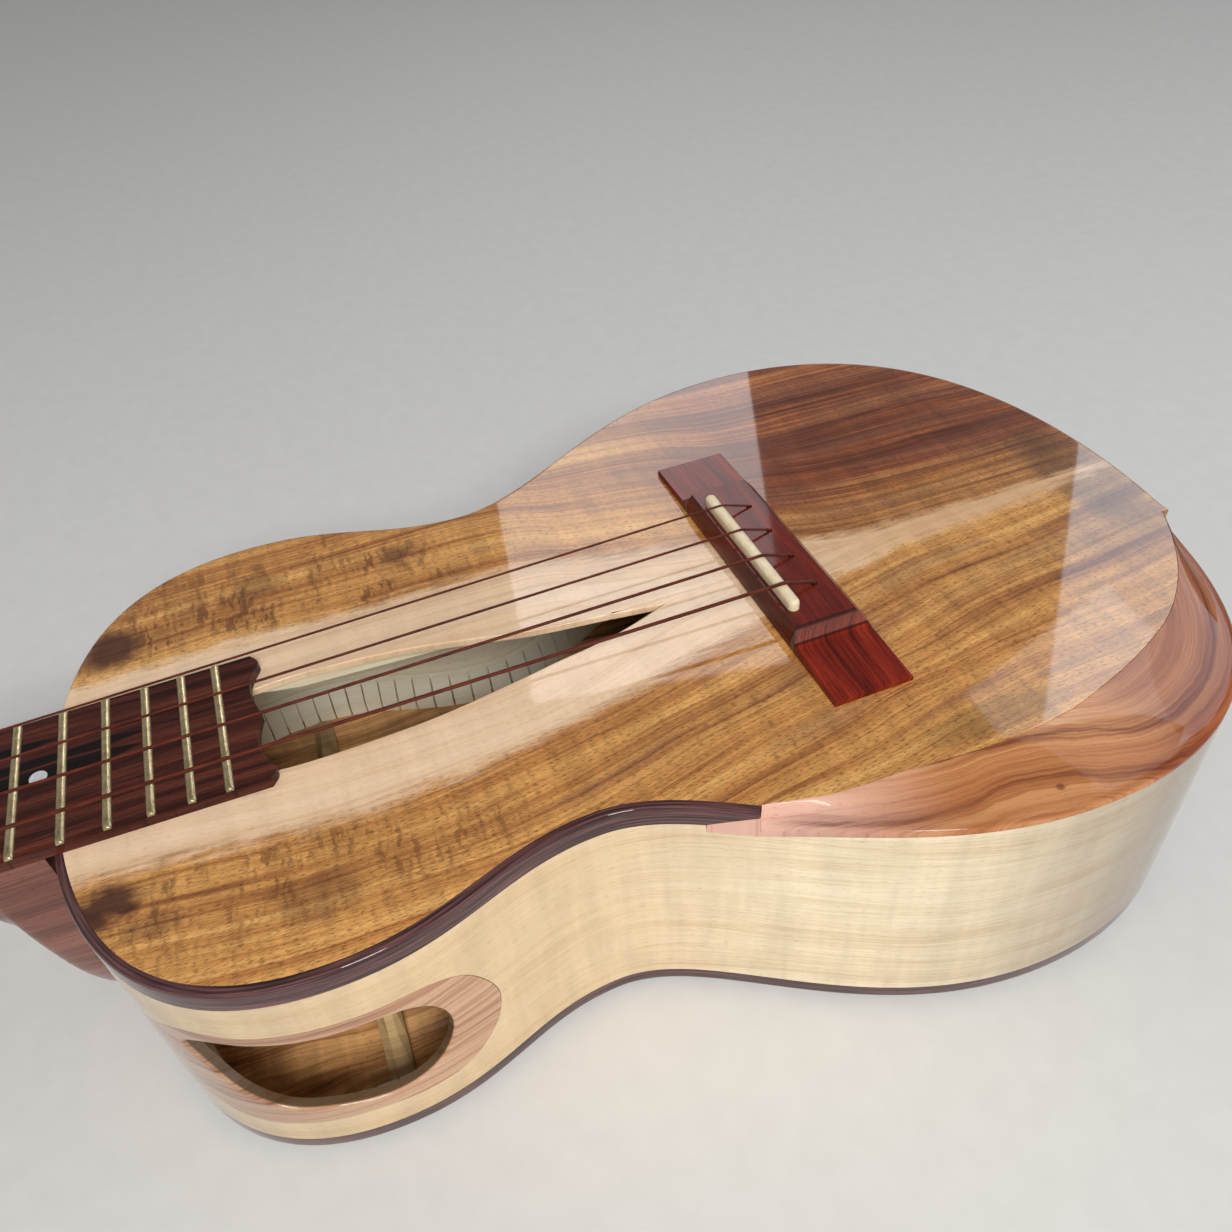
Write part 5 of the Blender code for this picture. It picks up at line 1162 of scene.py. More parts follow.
def comb(start, end, outer, inner):
    """Plan of a kerfed strip as (s, inset) pairs."""
    span = end - start
    teeth = max(int(span / KERF_PITCH), 2)
    pitch = span / teeth
    nick = KERF_WIDTH / 2
    web = outer + LINING_WEB
    plan = [(start + span * k / (teeth * 2), outer) for k in range(teeth * 2 + 1)]
    for k in range(teeth, 0, -1):
        high = start + pitch * k
        low = start + pitch * (k - 1)
        plan += [(high - nick, web), (high - nick, inner)] if k < teeth else [(high, inner)]
        plan.append(((high + low) / 2, inner))
        plan += [(low + nick, inner), (low + nick, web)] if k > 1 else [(low, inner)]
    return plan


def linings(finish):
    outer = BINDING_WIDTH + RIM_GAP
    start = BLOCK_WIDTH / 2 + 0.0012
    tail = RIM.total - start
    top_high = TOP_Z - TOP_THICK - GLUE
    back_low = BACK_THICK + GLUE
    levels = ((0.0, LINING_THICK), (0.35, LINING_THICK), (0.70, 0.76 * LINING_THICK),
              (0.90, 0.6 * LINING_THICK), (1.0, LINING_FOOT))
    for name, side, end, base, tall in (("lining_top_treble", TREBLE, tail, top_high, -LINING_TALL),
                                        ("lining_top_bass", BASS, SCARF_S - 0.0005, top_high, -LINING_TALL),
                                        ("lining_back_treble", TREBLE, tail, back_low, LINING_TALL),
                                        ("lining_back_bass", BASS, tail, back_low, LINING_TALL)):
        rings = []
        run = []
        for share, thick in levels:
            places = [(s, inset, base + tall * share) for s, inset in comb(start, end, outer, outer + thick)]
            rings.append([world(*RIM.at(s, inset, side), z) for s, inset, z in places])
            run += places
        piece = make_mesh(name + "_kerfed", skin(rings), finish, "spruce", run=run, sharp=25.0)
        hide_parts(name)


def fret_y(number):
    return SCALE_LENGTH * 2 ** (-number / 12)


def board_half(y):
    share = (NUT_Y - y) / (NUT_Y - NECK_JOINT_Y)
    return NUT_HALF + (JOINT_HALF - NUT_HALF) * share


def board_end():
    """Wavy end of the fretboard, from its treble corner to the middle."""
    half = board_half(FRETBOARD_END_Y)
    return spline(((half, FRETBOARD_END_Y + 0.0016), (0.86 * half, FRETBOARD_END_Y - 0.0002),
                   (0.70 * half, FRETBOARD_CUSP_Y + 0.0004),
                   (0.52 * half, FRETBOARD_CUSP_Y + FRETBOARD_HOLLOW),
                   (0.25 * half, FRETBOARD_CUSP_Y + 0.8 * FRETBOARD_HOLLOW), (0.0, FRETBOARD_CUSP_Y)), 14)


def fret_wire(number):
    """Rings of a crowned wire across the board, rounded at its ends."""
    y = fret_y(number)
    half = board_half(y) - 0.0001
    ends = ((0.35, 0.0), (0.7, 0.0003), (0.92, 0.0007), (1.0, 0.0012))
    rings = []
    for end, grow, inset in [(-1.0, *e) for e in ends] + [(1.0, *e) for e in reversed(ends)]:
        rings.append([world(end * (half - inset), y + FRET_WIDTH / 2 * math.cos(turn) * (0.7 + 0.3 * grow),
                            FRETBOARD_Z - 0.00005 + FRET_TALL * grow * math.sin(turn) ** 0.8)
                      for turn in spread(0.0, math.pi, 10)])
    return rings


def fretboard(board_finish, fret_finish, dot_finish):
    end = board_end()
    outline = [(-NUT_HALF, NUT_Y), (NUT_HALF, NUT_Y)] + end + [(-x, y) for x, y in reversed(end[:-1])]
    board = make_mesh("fretboard_wood", stack(outline, (TOP_Z + HAIRLINE, FRETBOARD_Z)), board_finish,
                      "dark_wood", sharp=40.0)
    ease(board, 0.00025, 35.0)
    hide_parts("fretboard")

    wires = skins([fret_wire(number) for number in range(1, FRET_COUNT + 1)])
    frets = make_mesh("fret_wires", wires, fret_finish, "plated_steel", sharp=50.0)
    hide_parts("fretboard")

    groups = []
    for fret, offset in ((5, 0.0), (7, 0.0), (10, 0.0), (12, -0.006), (12, 0.006), (15, 0.0)):
        y = (fret_y(fret) + fret_y(fret - 1)) / 2
        groups.append([[world(px, py, FRETBOARD_Z + rise)
                        for px, py in circle(radius, 40, DOT_OFFSET + offset, y)]
                       for radius, rise in ((DOT_R, -0.0004), (DOT_R, 0.00003), (DOT_R - 0.0002, 0.00006))])
    dots = make_mesh("position_dots", skins(groups), dot_finish, "bone", sharp=40.0)
    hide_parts("fretboard")


def neck_section(y, half, depth, top, floor):
    """D-shaped section: flat top, elliptical below, cut flat at the floor."""
    limit = math.radians(88)
    if depth > top - floor:
        limit = min(limit, math.asin((top - floor) / depth))
    right = [world(half * math.cos(turn), y, top - depth * math.sin(turn)) for turn in spread(0.0, limit, 22)]
    return right + [(-x, yy, z) for x, yy, z in reversed(right)]


def heel_depth(y):
    rise = y - NECK_JOINT_Y
    previous = HEEL_PROFILE[0]
    for point in HEEL_PROFILE[1:]:
        if rise <= point[0]:
            share = (rise - previous[0]) / (point[0] - previous[0])
            return previous[1] + (point[1] - previous[1]) * share
        previous = point
    share = min((rise - previous[0]) / (NUT_Y - NECK_JOINT_Y - previous[0]), 1.0)
    return SHAFT_DEPTH + (SHAFT_DEPTH_NUT - SHAFT_DEPTH) * share


def head_to_body(u, v, w):
    """A point of the headstock's frame in instrument coordinates."""
    return Vector((u, HEAD_Y + v * math.cos(HEAD_TILT) + w * math.sin(HEAD_TILT),
                   HEAD_Z - v * math.sin(HEAD_TILT) + w * math.cos(HEAD_TILT)))


def head_point(u, v, w):
    return world(*head_to_body(u, v, w))


def head_outline(start_v):
    side = [(u, v) for u, v in spline(HEAD_OUTLINE, 8) if v > start_v + 0.001]
    treble = [(HEAD_OUTLINE[0][0], start_v)] + side + [(0.0, HEAD_LONG)]
    return treble + [(-u, v) for u, v in reversed(treble[:-1])]


def post_places():
    return [(-POST_INSET, POST_NEAR_V), (-POST_INSET, POST_FAR_V),
            (POST_INSET, POST_FAR_V), (POST_INSET, POST_NEAR_V)]


def head_lathe(u, v, profile):
    """Round shape on an axis through the headstock; the profile holds (radius, w) pairs."""
    return skin([[head_point(x, y, w) for x, y in circle(radius, 48, u, v)] for radius, w in profile])


def bore_posts(piece, low):
    for u, v in post_places():
        cut(piece, stack(circle(SLEEVE_R + GLUE, 32, u, v), (low, 0.006), head_point))


def neck(neck_finish, plate_finish):
    start = NECK_JOINT_Y + 2 * GLUE
    floor = HEEL_CAP_THICK + 3 * GLUE
    last = NECK_JOINT_Y + HEEL_PROFILE[-1][0]
    places = [(start, heel_depth(start))]
    places += [(NECK_JOINT_Y + rise, depth) for rise, depth in spline(HEEL_PROFILE, 6)[2:]]
    places += [(y, heel_depth(y)) for y in spread(last, HEAD_Y, 12)[1:]]
    rings = [neck_section(y, board_half(y), depth, TOP_Z, floor) for y, depth in places]
    step = TOP_Z - HEAD_Z + NECK_SINK
    rings.append(neck_section(HEAD_Y + 0.0002, NUT_HALF, SHAFT_DEPTH_NUT - step, HEAD_Z - NECK_SINK, floor))
    tail = 0.010
    sunk = HEAD_Z - tail * math.tan(HEAD_TILT) - NECK_SINK
    rings.append(neck_section(HEAD_Y + tail, 0.92 * NUT_HALF, 0.0108, sunk, floor))
    shaft = make_mesh("neck_shaft", skin(rings), neck_finish, "mahogany", sharp=40.0)
    cut(shaft, stack(head_outline(-0.0040), (-HEAD_THICK, 0.0), head_point), operation="UNION")
    bore_posts(shaft, -HEAD_THICK - 0.004)
    ease(shaft, 0.0004, 50.0, sharp=40)
    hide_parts("neck")

    outline = []
    for k in range(30):
        y = start + k * 0.0004
        depth = heel_depth(y)
        if depth <= TOP_Z - floor:
            break
        outline.append((board_half(y) * math.sqrt(1 - ((TOP_Z - floor) / depth) ** 2), y))
    outline += [(-x, y) for x, y in reversed(outline)]
    cap = make_mesh("heel_cap_plate", stack(outline, (GLUE, floor - HAIRLINE)), plate_finish, "dark_wood",
                    sharp=40.0)
    ease(cap, 0.0003, 35.0)
    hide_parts("heel_cap")

    veneer = make_mesh("head_veneer", stack(head_outline(0.0004), (HAIRLINE, VENEER_THICK), head_point),
                       plate_finish, "dark_wood", sharp=40.0)
    bore_posts(veneer, -0.004)
    ease(veneer, 0.0003, 50.0, sharp=40)
    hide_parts("headstock_veneer")


def string_xs(spacing):
    return [spacing * (k - 1.5) for k in range(4)]


def nut(finish):
    low = TOP_Z + GLUE
    high = TOP_Z + NUT_TALL
    far = NUT_Y + NUT_LONG - 2 * GLUE
    section = ((NUT_Y + GLUE, low), (NUT_Y + GLUE, high - 0.0004), (NUT_Y + 0.0009, high),
               (NUT_Y + 0.0030, high - 0.0003), (far, high - 0.0014), (far, low))
    rings = [[world(x, y, z) for y, z in section] for x in (-NUT_HALF, NUT_HALF)]
    piece = make_mesh("nut_bone", skin(rings), finish, "bone", sharp=30.0)
    for (_, radius), x in zip(STRINGS, string_xs(NUT_SPACING)):
        slot = radius + 0.00015
        centre = TOP_Z + NUT_STRING_Z + radius
        outline = [(slot * math.cos(turn), slot * math.sin(turn)) for turn in spread(math.pi, math.tau, 10)]
        outline += [(slot, 0.004), (-slot, 0.004)]
        cut(piece, skin([[world(x + dx, NUT_Y + dy, centre + dz - 0.2 * dy) for dx, dz in outline]
                         for dy in (-0.002, NUT_LONG + 0.002)]))
    ease(piece, 0.0002, 40.0, sharp=30)
    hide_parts("nut")


def bridge_half():
    """Rings from the bass wing's tip to the block: a thin wing, then a hollow cove up to the block."""
    low = TOP_Z + HAIRLINE
    cove_start = BRIDGE_BLOCK_HALF + BRIDGE_COVE
    cove_end = BRIDGE_BLOCK_HALF - BRIDGE_EDGE
    rise = BRIDGE_TALL - BRIDGE_EDGE - WING_TALL
    plans = [(BRIDGE_HALF, WING_END_TALL), (cove_start, WING_TALL)]
    for t in spread(0.0, 1.0, 14)[1:]:
        plans.append((cove_start + (cove_end - cove_start) * t,
                      WING_TALL + rise * (1 - math.sqrt(1 - (0.985 * t) ** 2))))
    plans.append((BRIDGE_BLOCK_HALF - 0.0006, BRIDGE_TALL))
    rings = []
    for x, tall in plans:
        block = max(0.0, (tall - WING_TALL - 0.0004) / (BRIDGE_TALL - WING_TALL - 0.0004))
        head, tail, brow = (BRIDGE_EDGE + (full - BRIDGE_EDGE) * block
                            for full in (0.5 * BRIDGE_CHAMFER, BRIDGE_CHAMFER, 0.55 * BRIDGE_TALL))
        high = TOP_Z + tall
        section = ((BRIDGE_HEAD_Y, low), (BRIDGE_HEAD_Y, high - brow), (BRIDGE_HEAD_Y - head, high),
                   (BRIDGE_TAIL_Y + tail, high), (BRIDGE_TAIL_Y, high - brow), (BRIDGE_TAIL_Y, low))
        rings.append([world(-x, y, z) for y, z in section])
    return rings


def saddle_outline(half_x, half_y, steps=12):
    """Bar with rounded ends."""
    out = []
    for end in (1, -1):
        for k in range(2 * steps + 1):
            angle = end * math.pi / 2 * (1 - k / steps)
            centre = end * (half_x - half_y)
            out.append((centre + end * half_y * math.cos(angle), -half_y * math.sin(angle)))
    return out


def bridge(finish, bone_finish):
    rings = bridge_half()
    mirrored = [[(-x, y, z) for x, y, z in ring] for ring in reversed(rings)]
    piece = make_mesh("bridge_body", skin(rings + mirrored), finish, "dark_wood", sharp=25.0)
    floor = TOP_Z + BRIDGE_TALL - SADDLE_SEAT
    above = TOP_Z + 0.012
    cut(piece, stack(saddle_outline(SADDLE_HALF + 0.00005, SADDLE_WIDTH / 2 + 0.00005), (floor, above)))
    for x in string_xs(SADDLE_SPACING):
        cut(piece, stack(circle(STRING_HOLE_R * 0.8, 24, x, STRING_HOLE_Y), (TOP_Z - 0.001, above)))
    ease(piece, 0.00022, 30.0, sharp=25)
    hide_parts("bridge")

    shoulder = TOP_Z + SADDLE_TOP - SADDLE_CROWN
    levels = [(floor + GLUE, 0.0)]
    levels += [(shoulder + SADDLE_CROWN * (1 - down), SADDLE_CROWN * out) for out, down in quarter(8)]
    rings = [[world(x, y, z) for x, y in saddle_outline(SADDLE_HALF - inset, SADDLE_WIDTH / 2 - inset)]
             for z, inset in levels]
    saddle = make_mesh("saddle_bone", skin(rings), bone_finish, "bone", sharp=50.0)
    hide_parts("saddle")


def tube(points, radii):
    """Sweep a circle of changing radius along a path without twisting."""
    path = [Vector(p) for p in points]
    last = len(path) - 1
    tangents = [(path[min(k + 1, last)] - path[max(k - 1, 0)]).normalized() for k in range(len(path))]
    side = tangents[0].orthogonal().normalized()
    rings = []
    for point, tangent, radius in zip(path, tangents, radii):
        side = (side - tangent * side.dot(tangent)).normalized()
        up = tangent.cross(side)
        rings.append([world(*(point + (side * a + up * b) * radius)) for a, b in circle(1.0, 14)])
    return skin(rings)


def winding_reach(radius):
    return POST_WAIST_R + 2 * GLUE + radius


def strings(finish):
    """Free strings: knot under the top, up through the bridge, over saddle and nut, to the post."""
    for (name, radius), nut_x, x, (u, v) in zip(
            STRINGS, string_xs(NUT_SPACING), string_xs(SADDLE_SPACING), post_places()):
        reach = winding_reach(radius)
        swept = math.hypot(reach, WINDING_LEAD) + 2 * radius + STRING_END_GAP
        goal = head_to_body(u - math.copysign(reach, u), v, WINDING_W)
        nut_z = TOP_Z + NUT_STRING_Z + radius
        off_nut = Vector((nut_x, NUT_Y + 0.0030, nut_z - 0.0002))
        end = goal - (goal - off_nut).normalized() * math.sqrt(swept ** 2 - reach ** 2)
        crown = TOP_Z + SADDLE_TOP + radius + GLUE
        mouth = TOP_Z + BRIDGE_TALL + 1.6 * radius
        under = TOP_Z - TOP_THICK - BRIDGE_PLATE_THICK - 3 * GLUE
        points = [(x, STRING_HOLE_Y, under - 2 * KNOT_R - 0.0006)]
        radii = [radius]
        for share in spread(1.0, 0.0, 8):
            points.append((x, STRING_HOLE_Y, under - 2 * KNOT_R * share))
            radii.append(max(radius, KNOT_R * math.sin(math.pi * share)))
        points += spline(((x, STRING_HOLE_Y, mouth - 0.0010), (x, STRING_HOLE_Y + 0.0001, mouth - 0.0004),
                          (x, STRING_HOLE_Y + 0.0006, mouth + 0.0001),
                          (x, STRING_HOLE_Y + 0.0020, mouth + 0.0005), (x, -0.0016, crown - 0.0003),
                          (x, 0.0, crown), (x, 0.0018, crown - 0.00005)), 5)
        points += [(nut_x, NUT_Y + 0.0009, nut_z), off_nut, off_nut.lerp(end, 0.08), end]
        radii += [radius] * (len(points) - len(radii))
        piece = make_mesh(f"string_{name}_strand", tube(points, radii), finish, "string_nylon", sharp=60.0)
        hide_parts(f"string_{name}")


def gear_outline(u, v):
    """Worm wheel's outline with a gap towards +V."""
    outer = GEAR_PITCH_R + 0.75 * GEAR_MODULE
    root = GEAR_PITCH_R - GEAR_MODULE
    flank = (root + outer) / 2
    step = math.tau / GEAR_TEETH
    out = []
    for tooth in range(GEAR_TEETH):
        for offset, radius in ((-0.38, root), (-0.30, root), (-0.20, flank), (-0.13, outer), (0.0, outer),
                               (0.13, outer), (0.20, flank), (0.30, root), (0.38, root)):
            angle = math.pi / 2 + step * (tooth + 0.5 + offset)
            out.append((u + radius * math.cos(angle), v + radius * math.sin(angle)))
    return out


def tuner_post(name, u, v, finish):
    """Post with its worm wheel and the hole for the string."""
    gear_low = GEAR_MIDDLE_W - GEAR_THICK / 2
    gear_high = GEAR_MIDDLE_W + GEAR_THICK / 2
    face = VENEER_THICK
    under_plate = -(HEAD_THICK + GLUE + PLATE_THICK + RUNNING_GAP)
    profile = ((0.0012, gear_low - 0.0016), (0.0022, gear_low - 0.0016), (POST_R, gear_low - 0.0012),
               (POST_R, gear_high - 0.0004), (COLLAR_R, gear_high - 0.0004), (COLLAR_R, under_plate),
               (POST_R, under_plate), (POST_R, face + 0.0018), (0.0029, face + 0.0022),
               (POST_WAIST_R + 0.0001, face + 0.0027), (POST_WAIST_R, face + 0.0032),
               (POST_WAIST_R, POST_ABOVE - 0.0042), (POST_WAIST_R + 0.0001, POST_ABOVE - 0.0038),
               (0.0029, POST_ABOVE - 0.0033), (POST_R, POST_ABOVE - 0.0028), (POST_R, POST_ABOVE - 0.0006),
               (0.0028, POST_ABOVE - 0.0002), (0.0024, POST_ABOVE))
    piece = make_mesh(f"post_{name}_steel", head_lathe(u, v, profile), finish, "plated_steel", sharp=30.0,
                      body=f"post_{name}")
    cut(piece, stack(gear_outline(u, v), (gear_low, gear_high), head_point), operation="UNION")
    eye = circle(STRING_EYE_R, 24, v, STRING_EYE_W)
    cut(piece, skin([[head_point(u + x, y, w) for y, w in eye] for x in (-0.006, 0.006)]))
    piece.data.set_sharp_from_angle(angle=math.radians(30))
    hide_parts(f"tuner_post_{name}")


def tuner_shaft(name, u, v, finish, button_finish):
    """Worm shaft across the head, and its finger button as a piece of its own."""
    outward = math.copysign(1, u)
    button_start = max(p[0] for p in HEAD_OUTLINE) - abs(u) + BUTTON_GAP
    inner_end = -outward * (EAR_U + EAR_THICK / 2 + 0.0012)

    def across(x, section):
        return [head_point(u + x, v + WORM_OFFSET + y, GEAR_MIDDLE_W + z) for y, z in section]

    rod = ((inner_end, 0.0010), (inner_end + outward * 0.0004, SHAFT_R),
           (outward * (button_start + 0.004), SHAFT_R))
    parts = [("shaft_{}_steel", [across(x, circle(r, 32)) for x, r in rod], finish, "plated_steel", 30.0)]

    turns = 2 * WORM_HALF / WORM_LEAD - 0.55
    count = int(28 * turns)
    root = SHAFT_R - 0.0002
    rings = []
    for k in range(count + 1):
        share = k / count
        turn = (share - 0.5) * turns
        angle = math.pi + math.tau * turn
        tip = root + (WORM_OUTER_R - root) * min(1.0, min(share, 1 - share) * turns * 2.5 + 0.02)
        rings.append([across(WORM_LEAD * (turn + offset), [(r * math.cos(angle), r * math.sin(angle))])[0]
                      for offset, r in ((-0.27, root), (-0.12, tip), (0.12, tip), (0.27, root))])
    parts.append(("worm_{}_thread", rings, finish, "plated_steel", 30.0))

    rings = []
    for share, grow in spline(((0.0, 0.26), (0.03, 0.30), (0.12, 0.42), (0.26, 0.72), (0.44, 0.95),
                               (0.64, 1.0), (0.82, 0.94), (0.94, 0.74), (1.0, 0.50)), 5):
        thick = max(0.45, grow) * BUTTON_HALF_THICK * (0.6 + 0.4 * grow)
        rings.append(across(outward * (button_start + BUTTON_LONG * share),
                            circle(0.95 * grow * BUTTON_HALF, 48, tall=0.97 * thick)))
    parts.append(("button_{}_cap", rings, button_finish, "dark_wood", 40.0))
    for title, rings, look, slot, sharp in parts:
        piece = make_mesh(title.format(name), skin(rings), look, slot, sharp=sharp, body=f"button_{name}")
        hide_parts(f"tuner_shaft_{name}")


def tuner_plate(name, u, v, finish):
    """Back plate with two ears, and the sleeve that lines the post's bore."""
    top = -(HEAD_THICK + GLUE)
    low = top - PLATE_THICK
    corner = PLATE_CORNER
    right = PLATE_HALF_U - corner
    outline = []
    for first, (cx, cy) in enumerate(((right, PLATE_HIGH_V - corner), (-right, PLATE_HIGH_V - corner),
                                      (-right, -PLATE_LOW_V + corner), (right, -PLATE_LOW_V + corner))):
        for turn in spread(first, first + 1, 10):
            angle = math.pi / 2 * turn
            outline.append((u + cx + corner * math.cos(angle), v + cy + corner * math.sin(angle)))
    piece = make_mesh(f"plate_{name}_steel", stack(outline, (low, top), head_point), finish, "plated_steel",
                      sharp=30.0)
    face = VENEER_THICK
    sleeve = ((SLEEVE_R, low + 0.0002), (SLEEVE_R, face + GLUE), (FERRULE_R, face + GLUE),
              (FERRULE_R, face + 0.0004), (FERRULE_R - 0.0003, face + 0.0008), (SLEEVE_R, face + 0.0014))
    cut(piece, head_lathe(u, v, sleeve), operation="UNION")
    foot = low + 0.0003
    ear_low = GEAR_MIDDLE_W - EAR_BORE_R - 0.0012
    shoulder = GEAR_MIDDLE_W - 0.0014
    side = ((1.0, foot), (1.0, GEAR_MIDDLE_W), (0.85, shoulder), (0.6, ear_low))
    section = [(-y, z) for y, z in side] + list(reversed(side))
    middle = v + WORM_OFFSET
    for end in (-EAR_U, EAR_U):
        cut(piece, skin([[head_point(u + end + dx, middle + EAR_HALF * y, z) for y, z in section]
                         for dx in (-EAR_THICK / 2, EAR_THICK / 2)]), operation="UNION")
    bore = circle(EAR_BORE_R, 32, middle, GEAR_MIDDLE_W)
    cut(piece, skin([[head_point(u + x, y, w) for y, w in bore] for x in (-0.012, 0.012)]))
    cut(piece, head_lathe(u, v, ((SLEEVE_BORE, low - 0.002), (SLEEVE_BORE, face + 0.004))))
    ease(piece, 0.00018, 50.0, sharp=30)
    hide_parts(f"tuner_plate_{name}")


def winding(name, radius, u, v, finish):
    """Turns of the string on its post."""
    reach = winding_reach(radius)
    climb = 2 * radius + WINDING_GAP
    inner = -math.copysign(1, u)
    steps = 48
    places = [(inner * reach * math.cos(math.tau * k / steps), reach * math.sin(math.tau * k / steps),
               climb * k / steps) for k in range(WINDING_TURNS * steps + 1)]
    x, y, w = places[-1]
    places = [(inner * reach, -WINDING_LEAD, 0.0)] + places + [(x, y - WINDING_LEAD, w)]
    points = [head_to_body(u + x, v + y, WINDING_W + w) for x, y, w in places]
    piece = make_mesh(f"winding_{name}_turns", tube(points, [radius] * len(points)), finish, "string_nylon",
                      sharp=60.0, body=f"post_{name}")
    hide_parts(f"string_winding_{name}")


def camera():
    data = bpy.data.cameras.new("camera")
    data.lens = 30.10
    data.sensor_width = 36.0
    data.clip_start = 0.01
    data.clip_end = 50.0
    item = bpy.data.objects.new("camera", data)
    bpy.context.collection.objects.link(item)
    right = Vector((-0.35996, -0.93051, -0.06768))
    down = Vector((-0.60817, 0.28904, -0.73931))
    forward = Vector((0.70750, -0.22496, -0.66995))
    turn = Matrix((right, -down, -forward)).transposed().to_4x4()
    turn.translation = Vector(CAMERA_PLACE)
    item.matrix_world = turn
    bpy.context.scene.camera = item


def soft_box(name, place, target, size, radiance, colour=(1.0, 1.0, 1.0), hidden_from="visible_diffuse"):
    """Area lamp whose face has the given brightness, kept from one kind of ray."""
    data = bpy.data.lights.new(name, "AREA")
    data.shape = "RECTANGLE"
    data.size, data.size_y = size
    data.energy = radiance * size[0] * size[1] * math.pi
    data.color = colour
    item = bpy.data.objects.new(name, data)
    bpy.context.collection.objects.link(item)
    item.visible_camera = False
    setattr(item, hidden_from, False)
    item.location = place
    item.rotation_euler = (Vector(target) - Vector(place)).to_track_quat("-Z", "Y").to_euler()
    return item


def mirrored_box(name, azimuth, elevation, span, roll, radiance, colour):
    """Soft box placed so that the glossy top shows it between the given bearings, in degrees."""
    eye = Vector((CAMERA_PLACE[0], CAMERA_PLACE[1], 2 * TOP_Z - CAMERA_PLACE[2]))
    bearing, rise = math.radians(azimuth), math.radians(elevation)
    away = Vector((math.cos(rise) * math.cos(bearing), math.cos(rise) * math.sin(bearing), math.sin(rise)))
    reach = 1.7
    size = [2 * reach * math.tan(math.radians(angle / 2)) for angle in span]
    lamp = soft_box(name, eye + away * reach, eye, size, radiance, colour)
    lamp.rotation_euler.rotate_axis("Z", math.radians(roll))


def studio_sky():
    """Plain white surroundings, a little dimmer on the side that the top mirrors."""
    sky = bpy.data.worlds.new("studio")
    sky.use_nodes = True
    tree = sky.node_tree
    back = tree.nodes["Background"]
    back.inputs["Color"].default_value = (1.0, 1.0, 1.0, 1.0)
    bearing = tree.nodes.new("ShaderNodeTexCoord")
    towards = tree.nodes.new("ShaderNodeVectorMath")
    towards.operation = "DOT_PRODUCT"
    towards.inputs[1].default_value = (0.62, -0.52, 0.58)
    dim = tree.nodes.new("ShaderNodeMapRange")
    for key, value in (("From Min", 0.45), ("From Max", 0.95), ("To Min", 0.36), ("To Max", 0.20)):
        dim.inputs[key].default_value = value
    tree.links.new(bearing.outputs["Generated"], towards.inputs[0])
    tree.links.new(towards.outputs["Value"], dim.inputs["Value"])
    tree.links.new(dim.outputs[0], back.inputs["Strength"])
    bpy.context.scene.world = sky


def stage():
    bpy.context.scene.view_settings.view_transform = "Standard"
    studio_sky()
    net = Net("studio_floor", 0.75)
    x, y, z = net.axes()
    cloud = net.drawn(x, y, 9.0, 9.0, 1.0, 3.0)
    finish = net.done(net.ramp(cloud, (0.3, 216.46, 216.46, 215.06), (0.7, 220.59, 220.59, 219.22)))
    mesh = bpy.data.meshes.new("floor")
    mesh.from_pydata([(x, y, -0.0002) for x, y in circle(3.0, 96)], [], [tuple(range(96))])
    mesh.materials.append(finish)
    floor = bpy.data.objects.new("floor", mesh)
    bpy.context.collection.objects.link(floor)

    mirrored_box("window_treble", -19.2, 34.0, (14.6, 24.0), 5.0, 2.8, (1.0, 0.97, 0.98))
    mirrored_box("window_tail", -62.5, 35.0, (24.0, 20.0), 17.0, 3.1, (0.74, 0.87, 1.0))
    mirrored_box("window_bevel", -62.0, 47.5, (24.0, 9.0), -25.0, 1.7, (1.0, 0.96, 0.94))
    soft_box("gleam", (0.90, -1.30, 0.42), (0.02, -0.28, 0.07), (1.2, 0.16), 1.5, (0.88, 0.94, 1.0))
    soft_box("key", (-1.17, -0.10, 1.12), (0.0, -0.14, 0.05), (0.55, 0.55), 23.0, (1.0, 0.985, 0.96),
             hidden_from="visible_glossy")
    soft_box("glint", (-1.14, -0.10, 1.09), (0.0, -0.14, 0.05), (0.30, 0.30), 18.0)


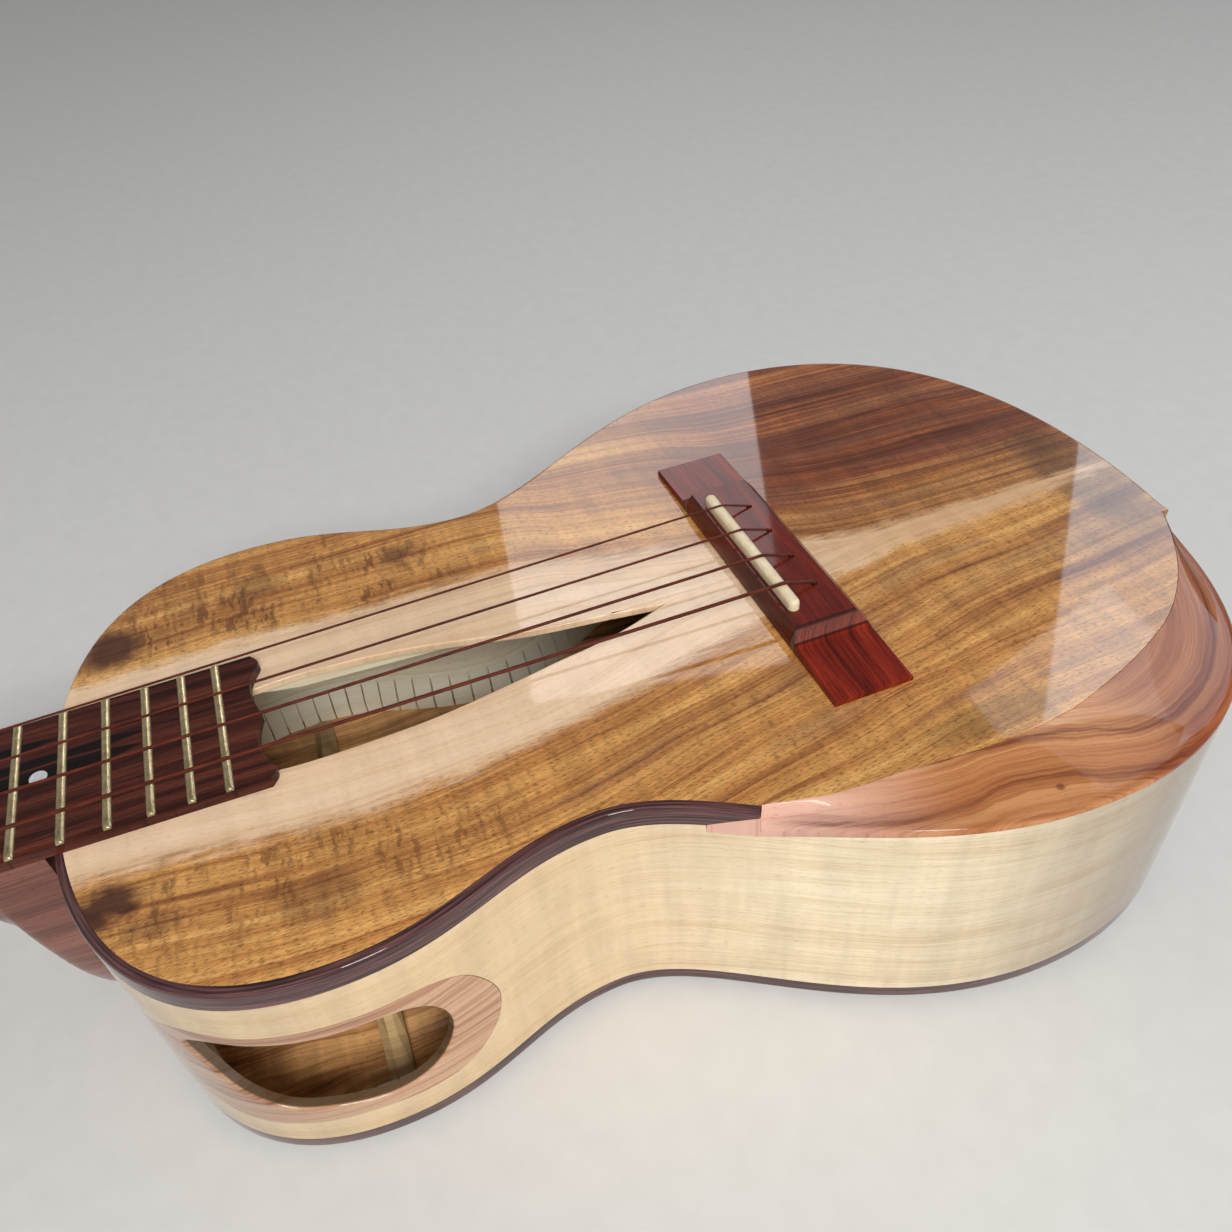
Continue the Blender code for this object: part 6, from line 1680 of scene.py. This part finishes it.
def sound_box(top, side, bevel, ring, binding, back, spruce):
    """Top, sides, back, bindings, bevel, port ring and linings."""
    around = spread(0.0, RIM.total, RIM_STEPS)
    soundboard("soundboard_treble", TREBLE, [(s, 0.0, EDGE_ROUND) for s in around], top)
    bass = [(s, BINDING_WIDTH + HAIRLINE, CRISP_ROUND) for s in binding_steps()]
    bass += [(s, bevel_width(s) + GLUE, CRISP_ROUND) for s in bevel_steps()]
    bass += [(s, 0.0, min(EDGE_ROUND, CRISP_ROUND + 0.0004 * k)) for k, s in enumerate(tail_steps())]
    soundboard("soundboard_bass", BASS, bass, top)
    side_walls(side)
    soundport_ring(ring)
    for way, hand in ((TREBLE, "treble"), (BASS, "bass")):
        back_half("back_" + hand, way, back)
    for way, hand in ((TREBLE, "treble"), (BASS, "bass")):
        rail(f"back_binding_{hand}_strip", way, [(s, back_binding_section()) for s in around], binding,
             "dark_wood", "back_binding_" + hand)
    rail("top_binding_strip", BASS, [(s, top_binding_section(s)) for s in binding_steps()], binding,
         "dark_wood", "top_binding_bass")
    stations = [(s, scarf_section(s)) for s in scarf_steps()] + [(s, bevel_section(s)) for s in bevel_steps()]
    rail("arm_bevel_veneer", BASS, stations, bevel, "veneer_wood", "arm_bevel")
    linings(spruce)


def main():
    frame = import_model()
    camera()

    plate = plate_wood()
    ivory = bone()
    strand = string_nylon()
    steel = metal("plated_steel", (196, 192, 184), (222, 218, 210), 0.22)
    brass = metal("fret_brass", (190, 172, 128), (222, 206, 164), 0.34)
    dot = pearl("dot_pearl", (196, 198, 204), (226, 226, 228))
    button = pearl("button_black", (18, 16, 18), (44, 40, 42))
    spruce = inner_wood("spruce", (242, 234, 206), (252, 246, 226), run=True)
    brace = inner_wood("brace_spruce", (170, 138, 94), (198, 168, 122))
    pale_brace = inner_wood("slot_spruce", (224, 210, 174), (240, 230, 200))
    block = inner_wood("block_mahogany", (120, 74, 50), (154, 100, 70))

    sound_box(top_wood(), side_wood(), bevel_wood(), ring_wood(), binding_wood(), back_wood(), spruce)
    fretboard(fretboard_wood(), brass, dot)
    neck(neck_wood(), plate)
    nut(ivory)
    bridge(bridge_wood(), ivory)
    strings(strand)
    for (name, radius), (u, v) in zip(STRINGS, post_places()):
        tuner_plate(name, u, v, steel)
        tuner_post(name, u, v, steel)
        tuner_shaft(name, u, v, steel, button)
        winding(name, radius, u, v, strand)

    for name, node in frame["nodes"].items():
        finish = brace if name.startswith("back") else pale_brace
        if name.startswith("tuner") or name == "neck_bolt":
            finish = steel
        elif name.startswith("string"):
            finish = strand
        elif "block" in name and name != "bevel_block" or name == "bridge_plate":
            finish = block
        node.data.materials.clear()
        node.data.materials.append(finish)

    stage()


main()
